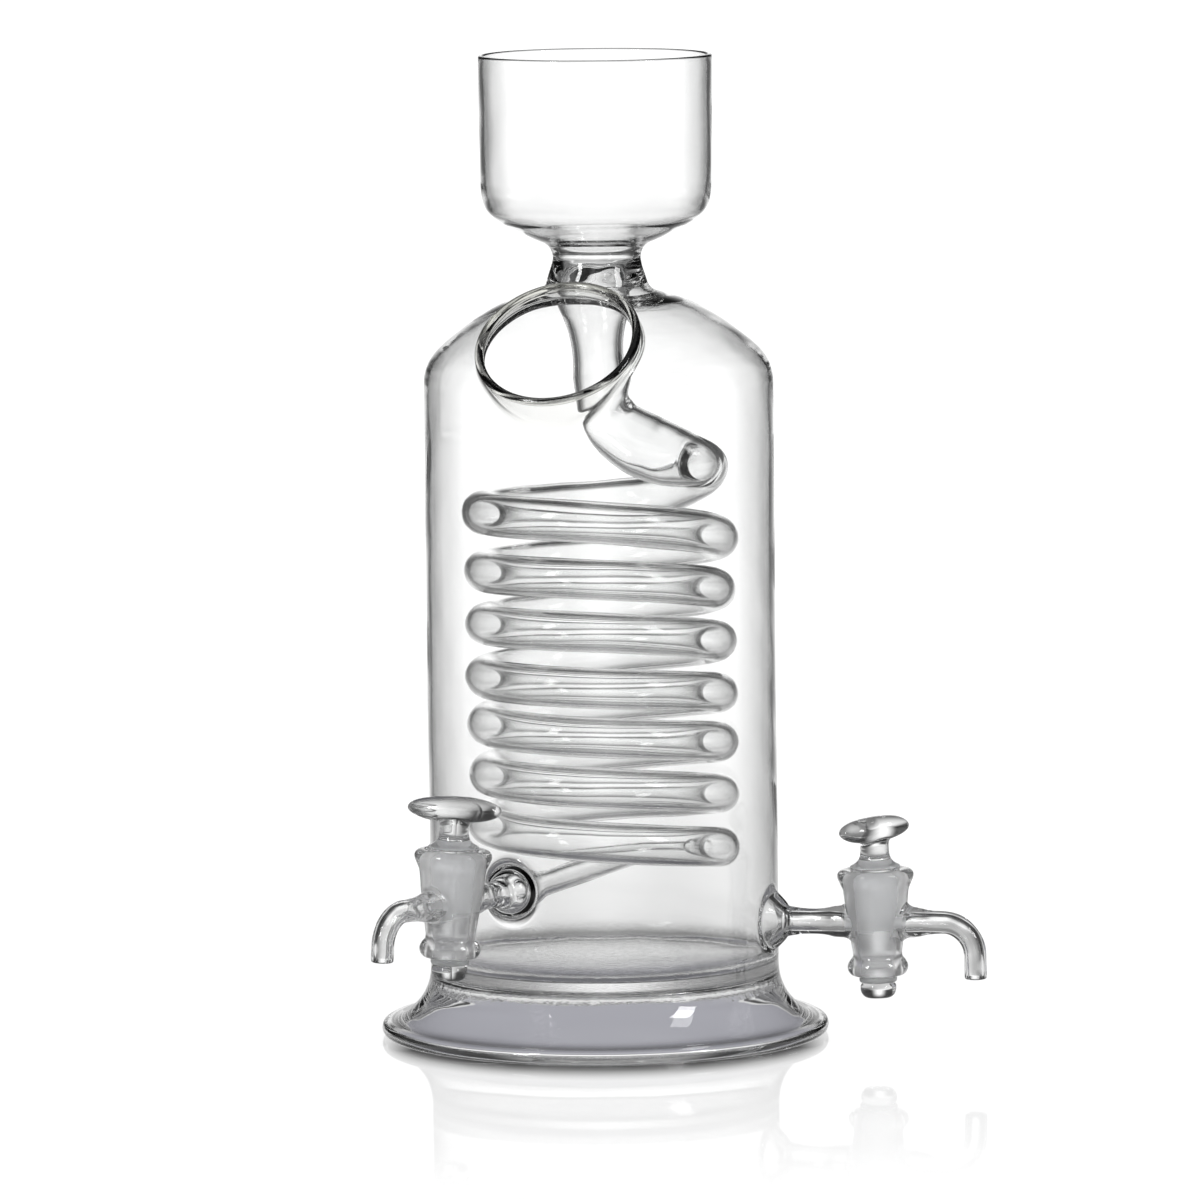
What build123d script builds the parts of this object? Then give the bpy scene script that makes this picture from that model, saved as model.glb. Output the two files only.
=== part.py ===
from build123d import *
import os
from math import cos, sin, tan, radians

os.makedirs("parts", exist_ok=True)

# ---------------------------------------------------------------------------
# Hand-blown glass chilling dispenser, millimetres.
# Origin: the axis of the vessel on the plane it stands on. +Z up, the viewer
# is on the -Y side, the drain tap is on the +X side.
# ---------------------------------------------------------------------------

# vessel (ice-water jacket)
vessel_r = 65.0            # outer radius
vessel_t = 1.8             # wall thickness
wall_bottom_z = 33.0
wall_top_z = 225.0         # seal between the cylinder and the shoulder piece
dome_start_z = 244.5
neck_base_r = 19.0
neck_base_z = 279.6

# foot
bead_r = 3.2               # section radius of the rolled rim
bead_centre_r = 80.3
bead_centre_z = 3.05       # a little less than bead_r: gives a ground flat
skirt_end_r = 77.6

# vessel floor
floor_top_z = 27.0
floor_t = 3.0
floor_flat_r = 54.5

# funnel bowl
rim_z = 366.0
rim_r = 43.4
bowl_r = 42.8
bowl_corner_z = 314.5
bowl_t = 1.7
neck_top_z = 295.0
neck_top_r = 17.4
passage_r = 14.0           # bore from the bowl down to the drop tube

# drop tube and lead-in
drop_top_z = 288.0
drop_end_z = 243.0
drop_end_r = 10.0
bend_r = 15.0              # centreline radius of the first bend
elbow_x = 39.6             # where the slanted run's axis meets the elbow
elbow_z = 212.8
bend_deg = 66.0
tube_t = 1.8

# cooling coil
coil_r = 43.2              # centreline radius
coil_pitch = 19.28
coil_tube_r = 7.5
coil_bore_r = 5.7
coil_z0 = 185.0            # height where the first full turn passes +X
coil_turns_from = 75.0     # start angle, degrees, anticlockwise from +X
coil_turns_to = 2550.0     # end angle
coil_tilt = 3.8            # the front of each turn stands this much higher, the back lower

# lead-out
lead_out_r = 4.6
lead_out_bore_r = 2.9

# ice port
port_centre = (-14.7, -48.0, 262.6)
port_axis = (-0.200, -0.628, 0.752)
port_r = 29.6              # centreline radius of the rim bead
port_bead = 1.75
port_outer_r = 30.3
port_bore_r = 27.9

# taps: frame at the crossing of the arm and barrel axes
tap_reach = 105.4          # distance of the barrel from the vessel axis
outlet_azimuth = 238.1     # degrees from +X, anticlockwise, measured on the arm
outlet_z = 62.0
outlet_roll = 2.4          # lean about the arm's own axis
outlet_pitch = 1.0
drain_azimuth = -17.0
drain_z = 45.2
drain_roll = 0.0
drain_pitch = 1.3
arm_bore_r = 2.5
boss_r = 12.0
port_hole_r = 8.0
taper_mid_r = 7.37         # bore radius of the barrel at the arm's height
taper = 0.05               # radius change per mm of height (1:10 on diameter)
plug_clearance = 0.06
plug_bore_r = 2.0


# ===========================================================================
# Funnel bowl: cylinder with a rounded corner, shallow cone and short neck
# ===========================================================================
with BuildPart() as funnel_bowl:
    with BuildSketch(Plane.XZ) as s:
        with BuildLine() as l:
            Line((neck_top_r, neck_top_z), (36.3, 304.6))
            ThreePointArc((36.3, 304.6), (40.6, 308.3), (bowl_r, bowl_corner_z))
            Line((bowl_r, bowl_corner_z), (rim_r, rim_z - 0.85))
            ThreePointArc((rim_r, rim_z - 0.85), (rim_r - bowl_t / 2, rim_z), (rim_r - bowl_t, rim_z - 0.85))
            Line((rim_r - bowl_t, rim_z - 0.85), (bowl_r - bowl_t, bowl_corner_z + 0.6))
            ThreePointArc((bowl_r - bowl_t, bowl_corner_z + 0.6), (39.2, 309.7), (35.3, 306.5))
            Line((35.3, 306.5), (passage_r, 297.3))
            Line((passage_r, 297.3), (passage_r, neck_top_z))
            Line((passage_r, neck_top_z), (neck_top_r, neck_top_z))
        make_face()
    revolve(axis=Axis.Z)
funnel_bowl.part.label = "funnel_bowl"
export_step(funnel_bowl.part, "parts/funnel_bowl.step")

# ===========================================================================
# Neck sleeve: waisted, carries the bowl, seals drop tube and shoulder
# ===========================================================================
with BuildPart() as neck_sleeve:
    with BuildSketch(Plane.XZ) as s:
        with BuildLine() as l:
            Line((passage_r, neck_top_z), (neck_top_r, neck_top_z))
            ThreePointArc((neck_top_r, neck_top_z), (16.4, 291.2), (17.1, 287.2))
            ThreePointArc((17.1, 287.2), (17.9, 283.4), (neck_base_r, neck_base_z))
            Line((neck_base_r, neck_base_z), (16.6, neck_base_z - 1.2))
            ThreePointArc((16.6, neck_base_z - 1.2), (15.4, 282.6), (15.0, 285.6))
            Line((15.0, 285.6), (15.0, drop_top_z))
            Line((15.0, drop_top_z), (passage_r, drop_top_z))
            Line((passage_r, drop_top_z), (passage_r, neck_top_z))
        make_face()
    revolve(axis=Axis.Z)
neck_sleeve.part.label = "neck_sleeve"
export_step(neck_sleeve.part, "parts/neck_sleeve.step")

# ===========================================================================
# Drop tube: wide under the neck, drawn down to the bend
# ===========================================================================
with BuildPart() as drop_tube:
    with BuildSketch(Plane.XZ) as s:
        with BuildLine() as l:
            Line((12.4, drop_top_z), (14.9, drop_top_z))
            Line((14.9, drop_top_z), (14.4, 276.0))
            Spline((14.4, 276.0), (12.2, 269.0), (10.0, 262.0), (9.4, 254.0), (drop_end_r, drop_end_z),
                   tangents=[(-0.1, -1.0), (0.08, -1.0)])
            Line((drop_end_r, drop_end_z), (drop_end_r - tube_t, drop_end_z))
            Spline((drop_end_r - tube_t, drop_end_z), (7.6, 254.0), (8.2, 262.0), (10.4, 269.0), (12.5, 276.0),
                   tangents=[(-0.08, 1.0), (0.1, 1.0)])
            Line((12.5, 276.0), (12.4, drop_top_z))
        make_face()
    revolve(axis=Axis.Z)
drop_tube.part.label = "drop_tube"
export_step(drop_tube.part, "parts/drop_tube.step")

# ===========================================================================
# Lead-in tube: first bend (wide), a reducer, and the elbow that turns back
# to join the coil
# ===========================================================================
bend_end = (bend_r - bend_r * cos(radians(bend_deg)), drop_end_z - bend_r * sin(radians(bend_deg)))
lead_dir = (sin(radians(bend_deg)), -cos(radians(bend_deg)))
cone_len = 22.0
cone_end = (bend_end[0] + cone_len * lead_dir[0], 0.0, bend_end[1] + cone_len * lead_dir[1])
corner_b = (elbow_x, 0.0, bend_end[1] - (elbow_x - bend_end[0]) / tan(radians(bend_deg)))


def coil_point(deg):
    return (coil_r * cos(radians(deg)), coil_r * sin(radians(deg)),
            coil_z0 - coil_pitch * (deg - 360.0) / 360.0 - coil_tilt * sin(radians(deg)))


def coil_tangent(deg):
    slope = (-coil_pitch / radians(360.0) - coil_tilt * cos(radians(deg))) / coil_r
    return Vector(-sin(radians(deg)), cos(radians(deg)), slope).normalized()


coil_start = Vector(*coil_point(coil_turns_from))
corner_c = coil_start - coil_tangent(coil_turns_from) * 25.0

with BuildPart() as lead_in_tube:
    # first bend
    with BuildSketch(Plane.XY.offset(drop_end_z)) as s:
        Circle(drop_end_r)
        Circle(drop_end_r - tube_t, mode=Mode.SUBTRACT)
    revolve(axis=Axis((bend_r, 0, drop_end_z), (0, 1, 0)), revolution_arc=-bend_deg)
    # reducer along the slanted run
    with BuildSketch(Plane(origin=(bend_end[0], 0, bend_end[1]), x_dir=(lead_dir[0], 0, lead_dir[1]),
                           z_dir=(0, -1, 0))) as s:
        with BuildLine() as l:
            Line((0, drop_end_r - tube_t), (0, drop_end_r))
            Spline((0, drop_end_r), (6, 11.1), (13, 10.2), (cone_len, coil_tube_r),
                   tangents=[(1, 0.15), (1, -0.08)])
            Line((cone_len, coil_tube_r), (cone_len, coil_bore_r))
            Spline((cone_len, coil_bore_r), (13, 8.4), (6, 9.3), (0, drop_end_r - tube_t),
                   tangents=[(-1, 0.08), (-1, -0.15)])
        make_face()
    revolve(axis=Axis((bend_end[0], 0, bend_end[1]), (lead_dir[0], 0, lead_dir[1])))
    # elbow and run into the coil
    with BuildLine() as path:
        FilletPolyline(cone_end, corner_b, tuple(corner_c), tuple(coil_start), radius=[12.0, 36.0])
    with BuildSketch(Plane(origin=cone_end, x_dir=(0, 1, 0), z_dir=(lead_dir[0], 0, lead_dir[1]))) as s:
        Circle(coil_tube_r)
        Circle(coil_bore_r, mode=Mode.SUBTRACT)
    sweep(path=path.line)
lead_in_tube.part.label = "lead_in_tube"
export_step(lead_in_tube.part, "parts/lead_in_tube.step")

# ===========================================================================
# Cooling coil: tube wound anticlockwise as it descends, every turn leaning
# back a little, one part for each turn, face to face
# ===========================================================================
coil_end = coil_point(coil_turns_to)
coil_cuts = [coil_turns_from + 360.0 * k for k in range(7)] + [coil_turns_to]


for number, (deg_from, deg_to) in enumerate(zip(coil_cuts[:-1], coil_cuts[1:]), 1):
    span = deg_to - deg_from
    steps = [0.0, 3.0, 10.0] + [span * k / 16.0 for k in range(1, 16)] + [span - 10.0, span - 3.0, span]
    with BuildPart() as coil_turn:
        with BuildLine() as path:
            Spline(*[coil_point(deg_from + step) for step in steps])
        with BuildSketch(Plane(origin=path.line @ 0, z_dir=path.line % 0)) as s:
            Circle(coil_tube_r)
            Circle(coil_bore_r, mode=Mode.SUBTRACT)
        sweep(path=path.line)
    coil_turn.part.label = f"coil_turn_{number}"
    export_step(coil_turn.part, f"parts/coil_turn_{number}.step")

# ===========================================================================
# Tap frames
# ===========================================================================


def tap_frame(azimuth, height, roll, pitch):
    """Origin at the crossing of arm and barrel; x along the arm outwards, z up the barrel."""
    a, p, q = radians(azimuth), radians(pitch), radians(roll)
    arm = Vector(cos(a), sin(a), 0)
    side = Vector(-sin(a), cos(a), 0)
    up = Vector(0, 0, 1)
    x = arm * cos(p) + up * sin(p)
    z = (up * cos(p) - arm * sin(p)) * cos(q) + side * sin(q)
    return Plane(origin=(tap_reach * cos(a), tap_reach * sin(a), height), x_dir=x, z_dir=z)


def turned_frame(frame, deg):
    """The same frame turned about the barrel's axis."""
    t = radians(deg)
    return Plane(origin=frame.origin, x_dir=frame.x_dir * cos(t) + frame.y_dir * sin(t), z_dir=frame.z_dir)


outlet_frame = tap_frame(outlet_azimuth, outlet_z, outlet_roll, outlet_pitch)
drain_frame = tap_frame(drain_azimuth, drain_z, drain_roll, drain_pitch)


def side_plane(frame):
    """Plane through the barrel axis and the arm: x outwards along the arm, y up the barrel."""
    return Plane(origin=frame.origin, x_dir=frame.x_dir, z_dir=-frame.y_dir)


def point_on(frame, x, y, z):
    return frame.origin + frame.x_dir * x + frame.y_dir * y + frame.z_dir * z


wall_in = vessel_r - vessel_t

# ===========================================================================
# Lead-out tube: reducer at the coil's end, bend, run to the outlet's wall seal
# ===========================================================================
out_start = Vector(*coil_end)
out_dir = coil_tangent(coil_turns_to)
reducer_len = 7.0
tube_start = out_start + out_dir * (reducer_len - 1.0)
seal_tail = point_on(outlet_frame, wall_in - 3.0 - tap_reach, 0, 0)
corner_p = Vector(22.9, 46.4, 65.9)


def out_body(start_r, run_r, seal_profile):
    """Solid of revolution at the coil, bent run, and flare at the wall; radii are its outline."""
    with BuildPart() as body:
        with BuildSketch(Plane(origin=out_start, x_dir=out_dir, z_dir=out_dir.cross(Vector(0, 0, 1)))) as s1:
            with BuildLine() as l1:
                Polyline((0, 0), (0, start_r), (reducer_len + 0.4, run_r - 0.17), (reducer_len + 0.4, 0), (0, 0))
            make_face()
        revolve(axis=Axis(out_start, out_dir))
        with BuildLine() as path:
            FilletPolyline(tuple(tube_start), tuple(corner_p), tuple(seal_tail), radius=[12.0])
        with BuildSketch(Plane(origin=path.line @ 0, z_dir=path.line % 0)) as s2:
            Circle(run_r)
        sweep(path=path.line)
        with BuildSketch(side_plane(outlet_frame)) as s3:
            with BuildLine() as l2:
                Polyline(*[(wall_in + x - tap_reach, r) for x, r in seal_profile])
            make_face()
        revolve(axis=Axis(outlet_frame.origin, outlet_frame.x_dir))
    return body.part


# the flared end is trimmed by the inside of the vessel wall
out_shell = out_body(coil_tube_r, lead_out_r,
                     [(-6.0, 0), (-6.0, 4.2), (-3.4, 5.2), (-1.0, port_hole_r), (2.0, port_hole_r), (2.0, 0), (-6.0, 0)])
out_bore = out_body(coil_bore_r, lead_out_bore_r,
                    [(-6.0, 0), (-6.0, 2.5), (-3.2, 3.4), (-0.4, port_hole_r - 1.9), (2.5, port_hole_r - 1.8),
                     (2.5, 0), (-6.0, 0)])
with BuildPart() as out_room:
    with BuildSketch(Plane.XY.offset(30)) as s:
        Circle(wall_in)
    extrude(amount=80)
lead_out_full = (out_shell - out_bore) & out_room.part
lead_out_full.label = "lead_out_tube"
export_step(lead_out_full, "parts/lead_out_tube.step")

# ===========================================================================
# Vessel wall: plain cylinder with the two tap holes
# ===========================================================================
with BuildPart() as vessel_wall:
    with BuildSketch(Plane.XY.offset(wall_bottom_z)) as s:
        Circle(vessel_r)
        Circle(wall_in, mode=Mode.SUBTRACT)
    extrude(amount=wall_top_z - wall_bottom_z)
    for fr in (outlet_frame, drain_frame):
        with BuildSketch(Plane(origin=point_on(fr, vessel_r + 4 - tap_reach, 0, 0), z_dir=-fr.x_dir)) as s:
            Circle(port_hole_r)
        extrude(amount=10, mode=Mode.SUBTRACT)
vessel_wall.part.label = "vessel_wall"
export_step(vessel_wall.part, "parts/vessel_wall.step")

# ===========================================================================
# Shoulder: dome with a short straight skirt, cut by the ice port
# ===========================================================================
port_plane = Plane(origin=port_centre, x_dir=(0.953, -0.303, 0.0), z_dir=port_axis)


def dome_outline_outer():
    Line((vessel_r, wall_top_z), (vessel_r, dome_start_z))
    Spline((vessel_r, dome_start_z), (63.5, 251.8), (59.3, 257.2), (50.3, 264.6), (37.0, 273.2), (26.0, 277.2),
           (neck_base_r, neck_base_z), tangents=[(0.0, 1.0), (-0.85, 0.5)])


with BuildPart() as vessel_shoulder:
    with BuildSketch(Plane.XZ) as s:
        with BuildLine() as l:
            dome_outline_outer()
            Line((neck_base_r, neck_base_z), (16.6, neck_base_z - 1.2))
            Line((16.6, neck_base_z - 1.2), (17.2, neck_base_z - 1.9))
            Spline((17.2, neck_base_z - 1.9), (25.2, 275.0), (36.1, 271.2), (49.0, 262.7), (57.6, 255.4), (61.5, 251.1),
                   (wall_in, dome_start_z), tangents=[(0.85, -0.5), (0.0, -1.0)])
            Line((wall_in, dome_start_z), (wall_in, wall_top_z))
            Line((wall_in, wall_top_z), (vessel_r, wall_top_z))
        make_face()
    revolve(axis=Axis.Z)
    with BuildSketch(port_plane.offset(15)) as s:
        Circle(port_bore_r)
    extrude(amount=-55, mode=Mode.SUBTRACT)
vessel_shoulder.part.label = "vessel_shoulder"
export_step(vessel_shoulder.part, "parts/vessel_shoulder.step")

# solid inside of the shoulder's outer surface, used only for trimming
with BuildPart() as dome_core:
    with BuildSketch(Plane.XZ) as s:
        with BuildLine() as l:
            Line((0, 200.0), (vessel_r, 200.0))
            Line((vessel_r, 200.0), (vessel_r, wall_top_z))
            dome_outline_outer()
            Line((neck_base_r, neck_base_z), (0, neck_base_z))
            Line((0, neck_base_z), (0, 200.0))
        make_face()
    revolve(axis=Axis.Z)

# ===========================================================================
# Ice port: slanted collar and its fire-polished rim
# ===========================================================================
with BuildPart() as ice_port_collar:
    with BuildSketch(port_plane.offset(-1.0)) as s:
        Circle(port_outer_r)
        Circle(port_bore_r, mode=Mode.SUBTRACT)
    extrude(amount=-22)
    add(dome_core.part, mode=Mode.SUBTRACT)
ice_port_collar.part.label = "ice_port_collar"
export_step(ice_port_collar.part, "parts/ice_port_collar.step")

with BuildPart() as ice_port_rim:
    with BuildSketch(Plane(origin=port_centre, x_dir=port_plane.x_dir, z_dir=port_plane.y_dir)) as s:
        with BuildLine() as l:
            Line((port_bore_r, 1.0), (port_outer_r, 1.0))
            ThreePointArc((port_outer_r, 1.0), (port_r + port_bead - 0.05, -0.6), (port_r - 0.4, -1.7))
            ThreePointArc((port_r - 0.4, -1.7), (port_bore_r - 0.1, -0.6), (port_bore_r, 1.0))
        make_face()
    revolve(axis=Axis(port_centre, port_axis))
    add(dome_core.part, mode=Mode.SUBTRACT)
ice_port_rim.part.label = "ice_port_rim"
export_step(ice_port_rim.part, "parts/ice_port_rim.step")

# ===========================================================================
# Vessel floor: flat disc with a rounded heel
# ===========================================================================
with BuildPart() as vessel_floor:
    with BuildSketch(Plane.XZ) as s:
        with BuildLine() as l:
            Line((0, floor_top_z), (floor_flat_r, floor_top_z))
            ThreePointArc((floor_flat_r, floor_top_z), (60.2, 29.0), (wall_in, wall_bottom_z))
            Line((wall_in, wall_bottom_z), (wall_in, 28.0))
            ThreePointArc((wall_in, 28.0), (60.4, 25.2), (56.5, floor_top_z - floor_t))
            Line((56.5, floor_top_z - floor_t), (0, floor_top_z - floor_t))
            Line((0, floor_top_z - floor_t), (0, floor_top_z))
        make_face()
    revolve(axis=Axis.Z)
vessel_floor.part.label = "vessel_floor"
export_step(vessel_floor.part, "parts/vessel_floor.step")

# ===========================================================================
# Foot: flared hollow skirt and rolled rim with a ground flat
# ===========================================================================
rim_dz = (bead_r ** 2 - (bead_centre_r - skirt_end_r) ** 2) ** 0.5
skirt_hi = bead_centre_z + rim_dz
skirt_lo = bead_centre_z - rim_dz
with BuildPart() as foot_skirt:
    with BuildSketch(Plane.XZ) as s:
        with BuildLine() as l:
            Line((wall_in, wall_bottom_z), (vessel_r, wall_bottom_z))
            Line((vessel_r, wall_bottom_z), (vessel_r, 25.0))
            Spline((vessel_r, 25.0), (65.8, 20.0), (68.3, 14.4), (72.4, 9.2), (skirt_end_r, skirt_hi),
                   tangents=[(0.0, -1.0), (1.0, -0.35)])
            Line((skirt_end_r, skirt_hi), (skirt_end_r, skirt_lo))
            Spline((skirt_end_r, skirt_lo), (70.6, 5.2), (65.9, 10.6), (63.5, 17.6), (wall_in, 25.0),
                   tangents=[(-1.0, 0.3), (0.0, 1.0)])
            Line((wall_in, 25.0), (wall_in, wall_bottom_z))
        make_face()
    revolve(axis=Axis.Z)
foot_skirt.part.label = "foot_skirt"
export_step(foot_skirt.part, "parts/foot_skirt.step")

with BuildPart() as foot_rim:
    with BuildSketch(Plane.XZ) as s:
        with Locations((bead_centre_r, bead_centre_z)):
            Circle(bead_r)
        with Locations((bead_centre_r, -5)):
            Rectangle(20, 10, mode=Mode.SUBTRACT)
        with Locations((skirt_end_r - 5, 5)):
            Rectangle(10, 20, mode=Mode.SUBTRACT)
    revolve(axis=Axis.Z)
foot_rim.part.label = "foot_rim"
export_step(foot_rim.part, "parts/foot_rim.step")

# solid cylinder of the vessel's outside, used only for trimming the bosses
with BuildPart() as vessel_core:
    with BuildSketch(Plane.XY.offset(20)) as s:
        Circle(vessel_r)
    extrude(amount=100)

# ===========================================================================
# The two taps share one set of sections; each is placed by its own frame
# ===========================================================================
boss_end_x = -33.6
barrel_seat = 10.9


def taper_r(z):
    return taper_mid_r + taper * z


def make_boss(frame, name):
    with BuildPart() as boss:
        with BuildSketch(side_plane(frame)) as s:
            with BuildLine() as l:
                x0 = -43.5
                xw = vessel_r - tap_reach
                Line((x0, port_hole_r), (x0, boss_r))
                Line((x0, boss_r), (xw, boss_r))
                Spline((xw, boss_r), (xw + 1.8, 9.6), (xw + 4.2, 6.7), (boss_end_x, 5.6),
                       tangents=[(0.25, -1.0), (1.0, -0.1)])
                Line((boss_end_x, 5.6), (boss_end_x, arm_bore_r))
                Line((boss_end_x, arm_bore_r), (boss_end_x - 0.6, arm_bore_r))
                Spline((boss_end_x - 0.6, arm_bore_r), (xw + 2.6, 4.4), (xw - 0.6, port_hole_r),
                       tangents=[(-1.0, 0.1), (-0.35, 1.0)])
                Line((xw - 0.6, port_hole_r), (x0, port_hole_r))
            make_face()
        revolve(axis=Axis(frame.origin, frame.x_dir))
        add(vessel_core.part, mode=Mode.SUBTRACT)
    boss.part.label = name
    export_step(boss.part, "parts/" + name + ".step")
    return boss.part


def barrel_fill(frame):
    """Solid of the barrel's outside, to trim stem and spout."""
    with BuildPart() as fill:
        with BuildSketch(side_plane(frame)) as s:
            with BuildLine() as l:
                Polyline((0, -11.6), (9.1, -11.6), (10.2, -4.0), (11.4, 4.5), (11.9, 9.6), (0, 9.6), (0, -11.6))
            make_face()
        revolve(axis=Axis(frame.origin, frame.z_dir))
    return fill.part


def make_stem(frame, name):
    with BuildPart() as stem:
        with BuildSketch(side_plane(frame)) as s:
            with BuildLine() as l:
                Line((boss_end_x, arm_bore_r), (boss_end_x, 5.6))
                ThreePointArc((boss_end_x, 5.6), (-22.0, 4.7), (-10.6, 5.8))
                Line((-10.6, 5.8), (-6.0, 5.8))
                Line((-6.0, 5.8), (-6.0, arm_bore_r))
                Line((-6.0, arm_bore_r), (boss_end_x, arm_bore_r))
            make_face()
        revolve(axis=Axis(frame.origin, frame.x_dir))
        add(barrel_fill(frame), mode=Mode.SUBTRACT)
    stem.part.label = name
    export_step(stem.part, "parts/" + name + ".step")
    return stem.part


def make_barrel(frame, name):
    with BuildPart() as barrel:
        with BuildSketch(side_plane(frame)) as s:
            with BuildLine() as l:
                Line((taper_r(19.2), 19.2), (taper_r(-19.6), -19.6))
                ThreePointArc((taper_r(-19.6), -19.6), (9.9, -19.7), (11.2, -16.6))
                Spline((11.2, -16.6), (10.6, -14.6), (9.4, -12.9), (9.1, -11.6),
                       tangents=[(0.0, 1.0), (0.05, 1.0)])
                Polyline((9.1, -11.6), (10.2, -4.0), (11.4, 4.5), (11.9, 9.6))
                Spline((11.9, 9.6), (12.2, 12.2), (13.4, 15.0), (14.0, 17.2),
                       tangents=[(0.05, 1.0), (0.1, 1.0)])
                ThreePointArc((14.0, 17.2), (13.1, 19.3), (11.2, 19.6))
                Line((11.2, 19.6), (taper_r(19.2), 19.2))
            make_face()
        revolve(axis=Axis(frame.origin, frame.z_dir))
        with BuildSketch(Plane(origin=point_on(frame, -16, 0, 0), z_dir=frame.x_dir)) as s:
            Circle(plug_bore_r)
        extrude(amount=32, mode=Mode.SUBTRACT)
    barrel.part.label = name
    export_step(barrel.part, "parts/" + name + ".step")
    return barrel.part


def make_spout(frame, name, reach, drop, yaw):
    """Curved-down nozzle: straight out of the barrel, bend of 12 mm, straight down."""
    fr = turned_frame(frame, yaw)
    d = fr.x_dir
    with BuildPart() as spout:
        with BuildLine() as path:
            a = point_on(fr, 6.0, 0, 0)
            b = point_on(fr, reach, 0, 0)
            c = point_on(fr, reach, 0, -drop)
            FilletPolyline(tuple(a), tuple(b), tuple(c), radius=[12.0])
        with BuildSketch(Plane(origin=a, z_dir=d)) as s:
            Circle(4.15)
            Circle(arm_bore_r, mode=Mode.SUBTRACT)
        sweep(path=path.line)
        # thickened root against the barrel
        with BuildSketch(side_plane(fr)) as s:
            with BuildLine() as l:
                Line((6.0, arm_bore_r), (6.0, 5.6))
                Line((6.0, 5.6), (12.0, 5.5))
                Spline((12.0, 5.5), (15.5, 4.7), (20.0, 4.15), tangents=[(1.0, -0.15), (1.0, 0.0)])
                Line((20.0, 4.15), (20.0, arm_bore_r))
                Line((20.0, arm_bore_r), (6.0, arm_bore_r))
            make_face()
        revolve(axis=Axis(fr.origin, d))
        add(barrel_fill(frame), mode=Mode.SUBTRACT)
    spout.part.label = name
    export_step(spout.part, "parts/" + name + ".step")
    return spout.part


def make_plug(frame, name, handle_turn):
    c = plug_clearance
    with BuildPart() as plug:
        with BuildSketch(side_plane(frame)) as s:
            with BuildLine() as l:
                Line((0, -28.4), (3.6, -28.4))
                ThreePointArc((3.6, -28.4), (5.9, -27.2), (6.6, -24.8))
                ThreePointArc((6.6, -24.8), (6.4, -23.4), (5.2, -22.8))
                Line((5.2, -22.8), (5.2, -20.2))
                Line((5.2, -20.2), (taper_r(-20.0) - c, -20.0))
                Line((taper_r(-20.0) - c, -20.0), (taper_r(19.4) - c, 19.4))
                ThreePointArc((taper_r(19.4) - c, 19.4), (8.7, 20.1), (9.2, 20.5))
                Line((9.2, 20.5), (8.9, 21.2))
                Spline((8.9, 21.2), (6.6, 22.9), (5.5, 25.4), (5.4, 27.4),
                       tangents=[(-1.0, 0.5), (0.0, 1.0)])
                Line((5.4, 27.4), (0, 27.4))
                Line((0, 27.4), (0, -28.4))
            make_face()
        revolve(axis=Axis(frame.origin, frame.z_dir))
        turned = turned_frame(frame, handle_turn)
        with BuildSketch(Plane(origin=point_on(turned, -12, 0, 0), z_dir=turned.x_dir)) as s:
            Circle(plug_bore_r)
        extrude(amount=24, mode=Mode.SUBTRACT)
    plug.part.label = name
    export_step(plug.part, "parts/" + name + ".step")
    return plug.part


def make_handle(frame, name, handle_turn):
    """Flattened oval grip with a short flared foot on the plug's neck."""
    turned = turned_frame(frame, handle_turn)
    with BuildPart() as grip:
        sections = [(-17.4, 1.1, 0.9), (-15.6, 3.9, 2.7), (-12.0, 5.6, 3.9), (-6.0, 6.5, 4.6), (0.0, 6.8, 4.8),
                    (6.0, 6.5, 4.6), (12.0, 5.6, 3.9), (15.6, 3.9, 2.7), (17.4, 1.1, 0.9)]
        for x, w, h in sections:
            with BuildSketch(Plane(origin=point_on(turned, x, 0, 34.6), x_dir=turned.y_dir, z_dir=turned.x_dir)) as s:
                Ellipse(w, h)
        loft()
        with BuildSketch(side_plane(frame)) as s:
            with BuildLine() as l:
                Line((0, 27.4), (5.4, 27.4))
                Spline((5.4, 27.4), (5.6, 29.4), (6.3, 31.6), tangents=[(0.0, 1.0), (0.5, 1.0)])
                Line((6.3, 31.6), (5.0, 34.0))
                Line((5.0, 34.0), (0, 34.0))
                Line((0, 34.0), (0, 27.4))
            make_face()
        revolve(axis=Axis(frame.origin, frame.z_dir))
    grip.part.label = name
    export_step(grip.part, "parts/" + name + ".step")
    return grip.part


def make_ring(frame, name):
    with BuildPart() as ring:
        with BuildSketch(side_plane(frame)) as s:
            with BuildLine() as l:
                Line((5.2, -22.5), (5.2, -20.3))
                Line((5.2, -20.3), (6.2, -20.3))
                ThreePointArc((6.2, -20.3), (7.1, -21.4), (6.2, -22.5))
                Line((6.2, -22.5), (5.2, -22.5))
            make_face()
        revolve(axis=Axis(frame.origin, frame.z_dir))
    ring.part.label = name
    export_step(ring.part, "parts/" + name + ".step")
    return ring.part


# handle angles about the barrel axis, from the outward arm direction
outlet_handle_turn = 111.9
drain_handle_turn = -117.0

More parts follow.
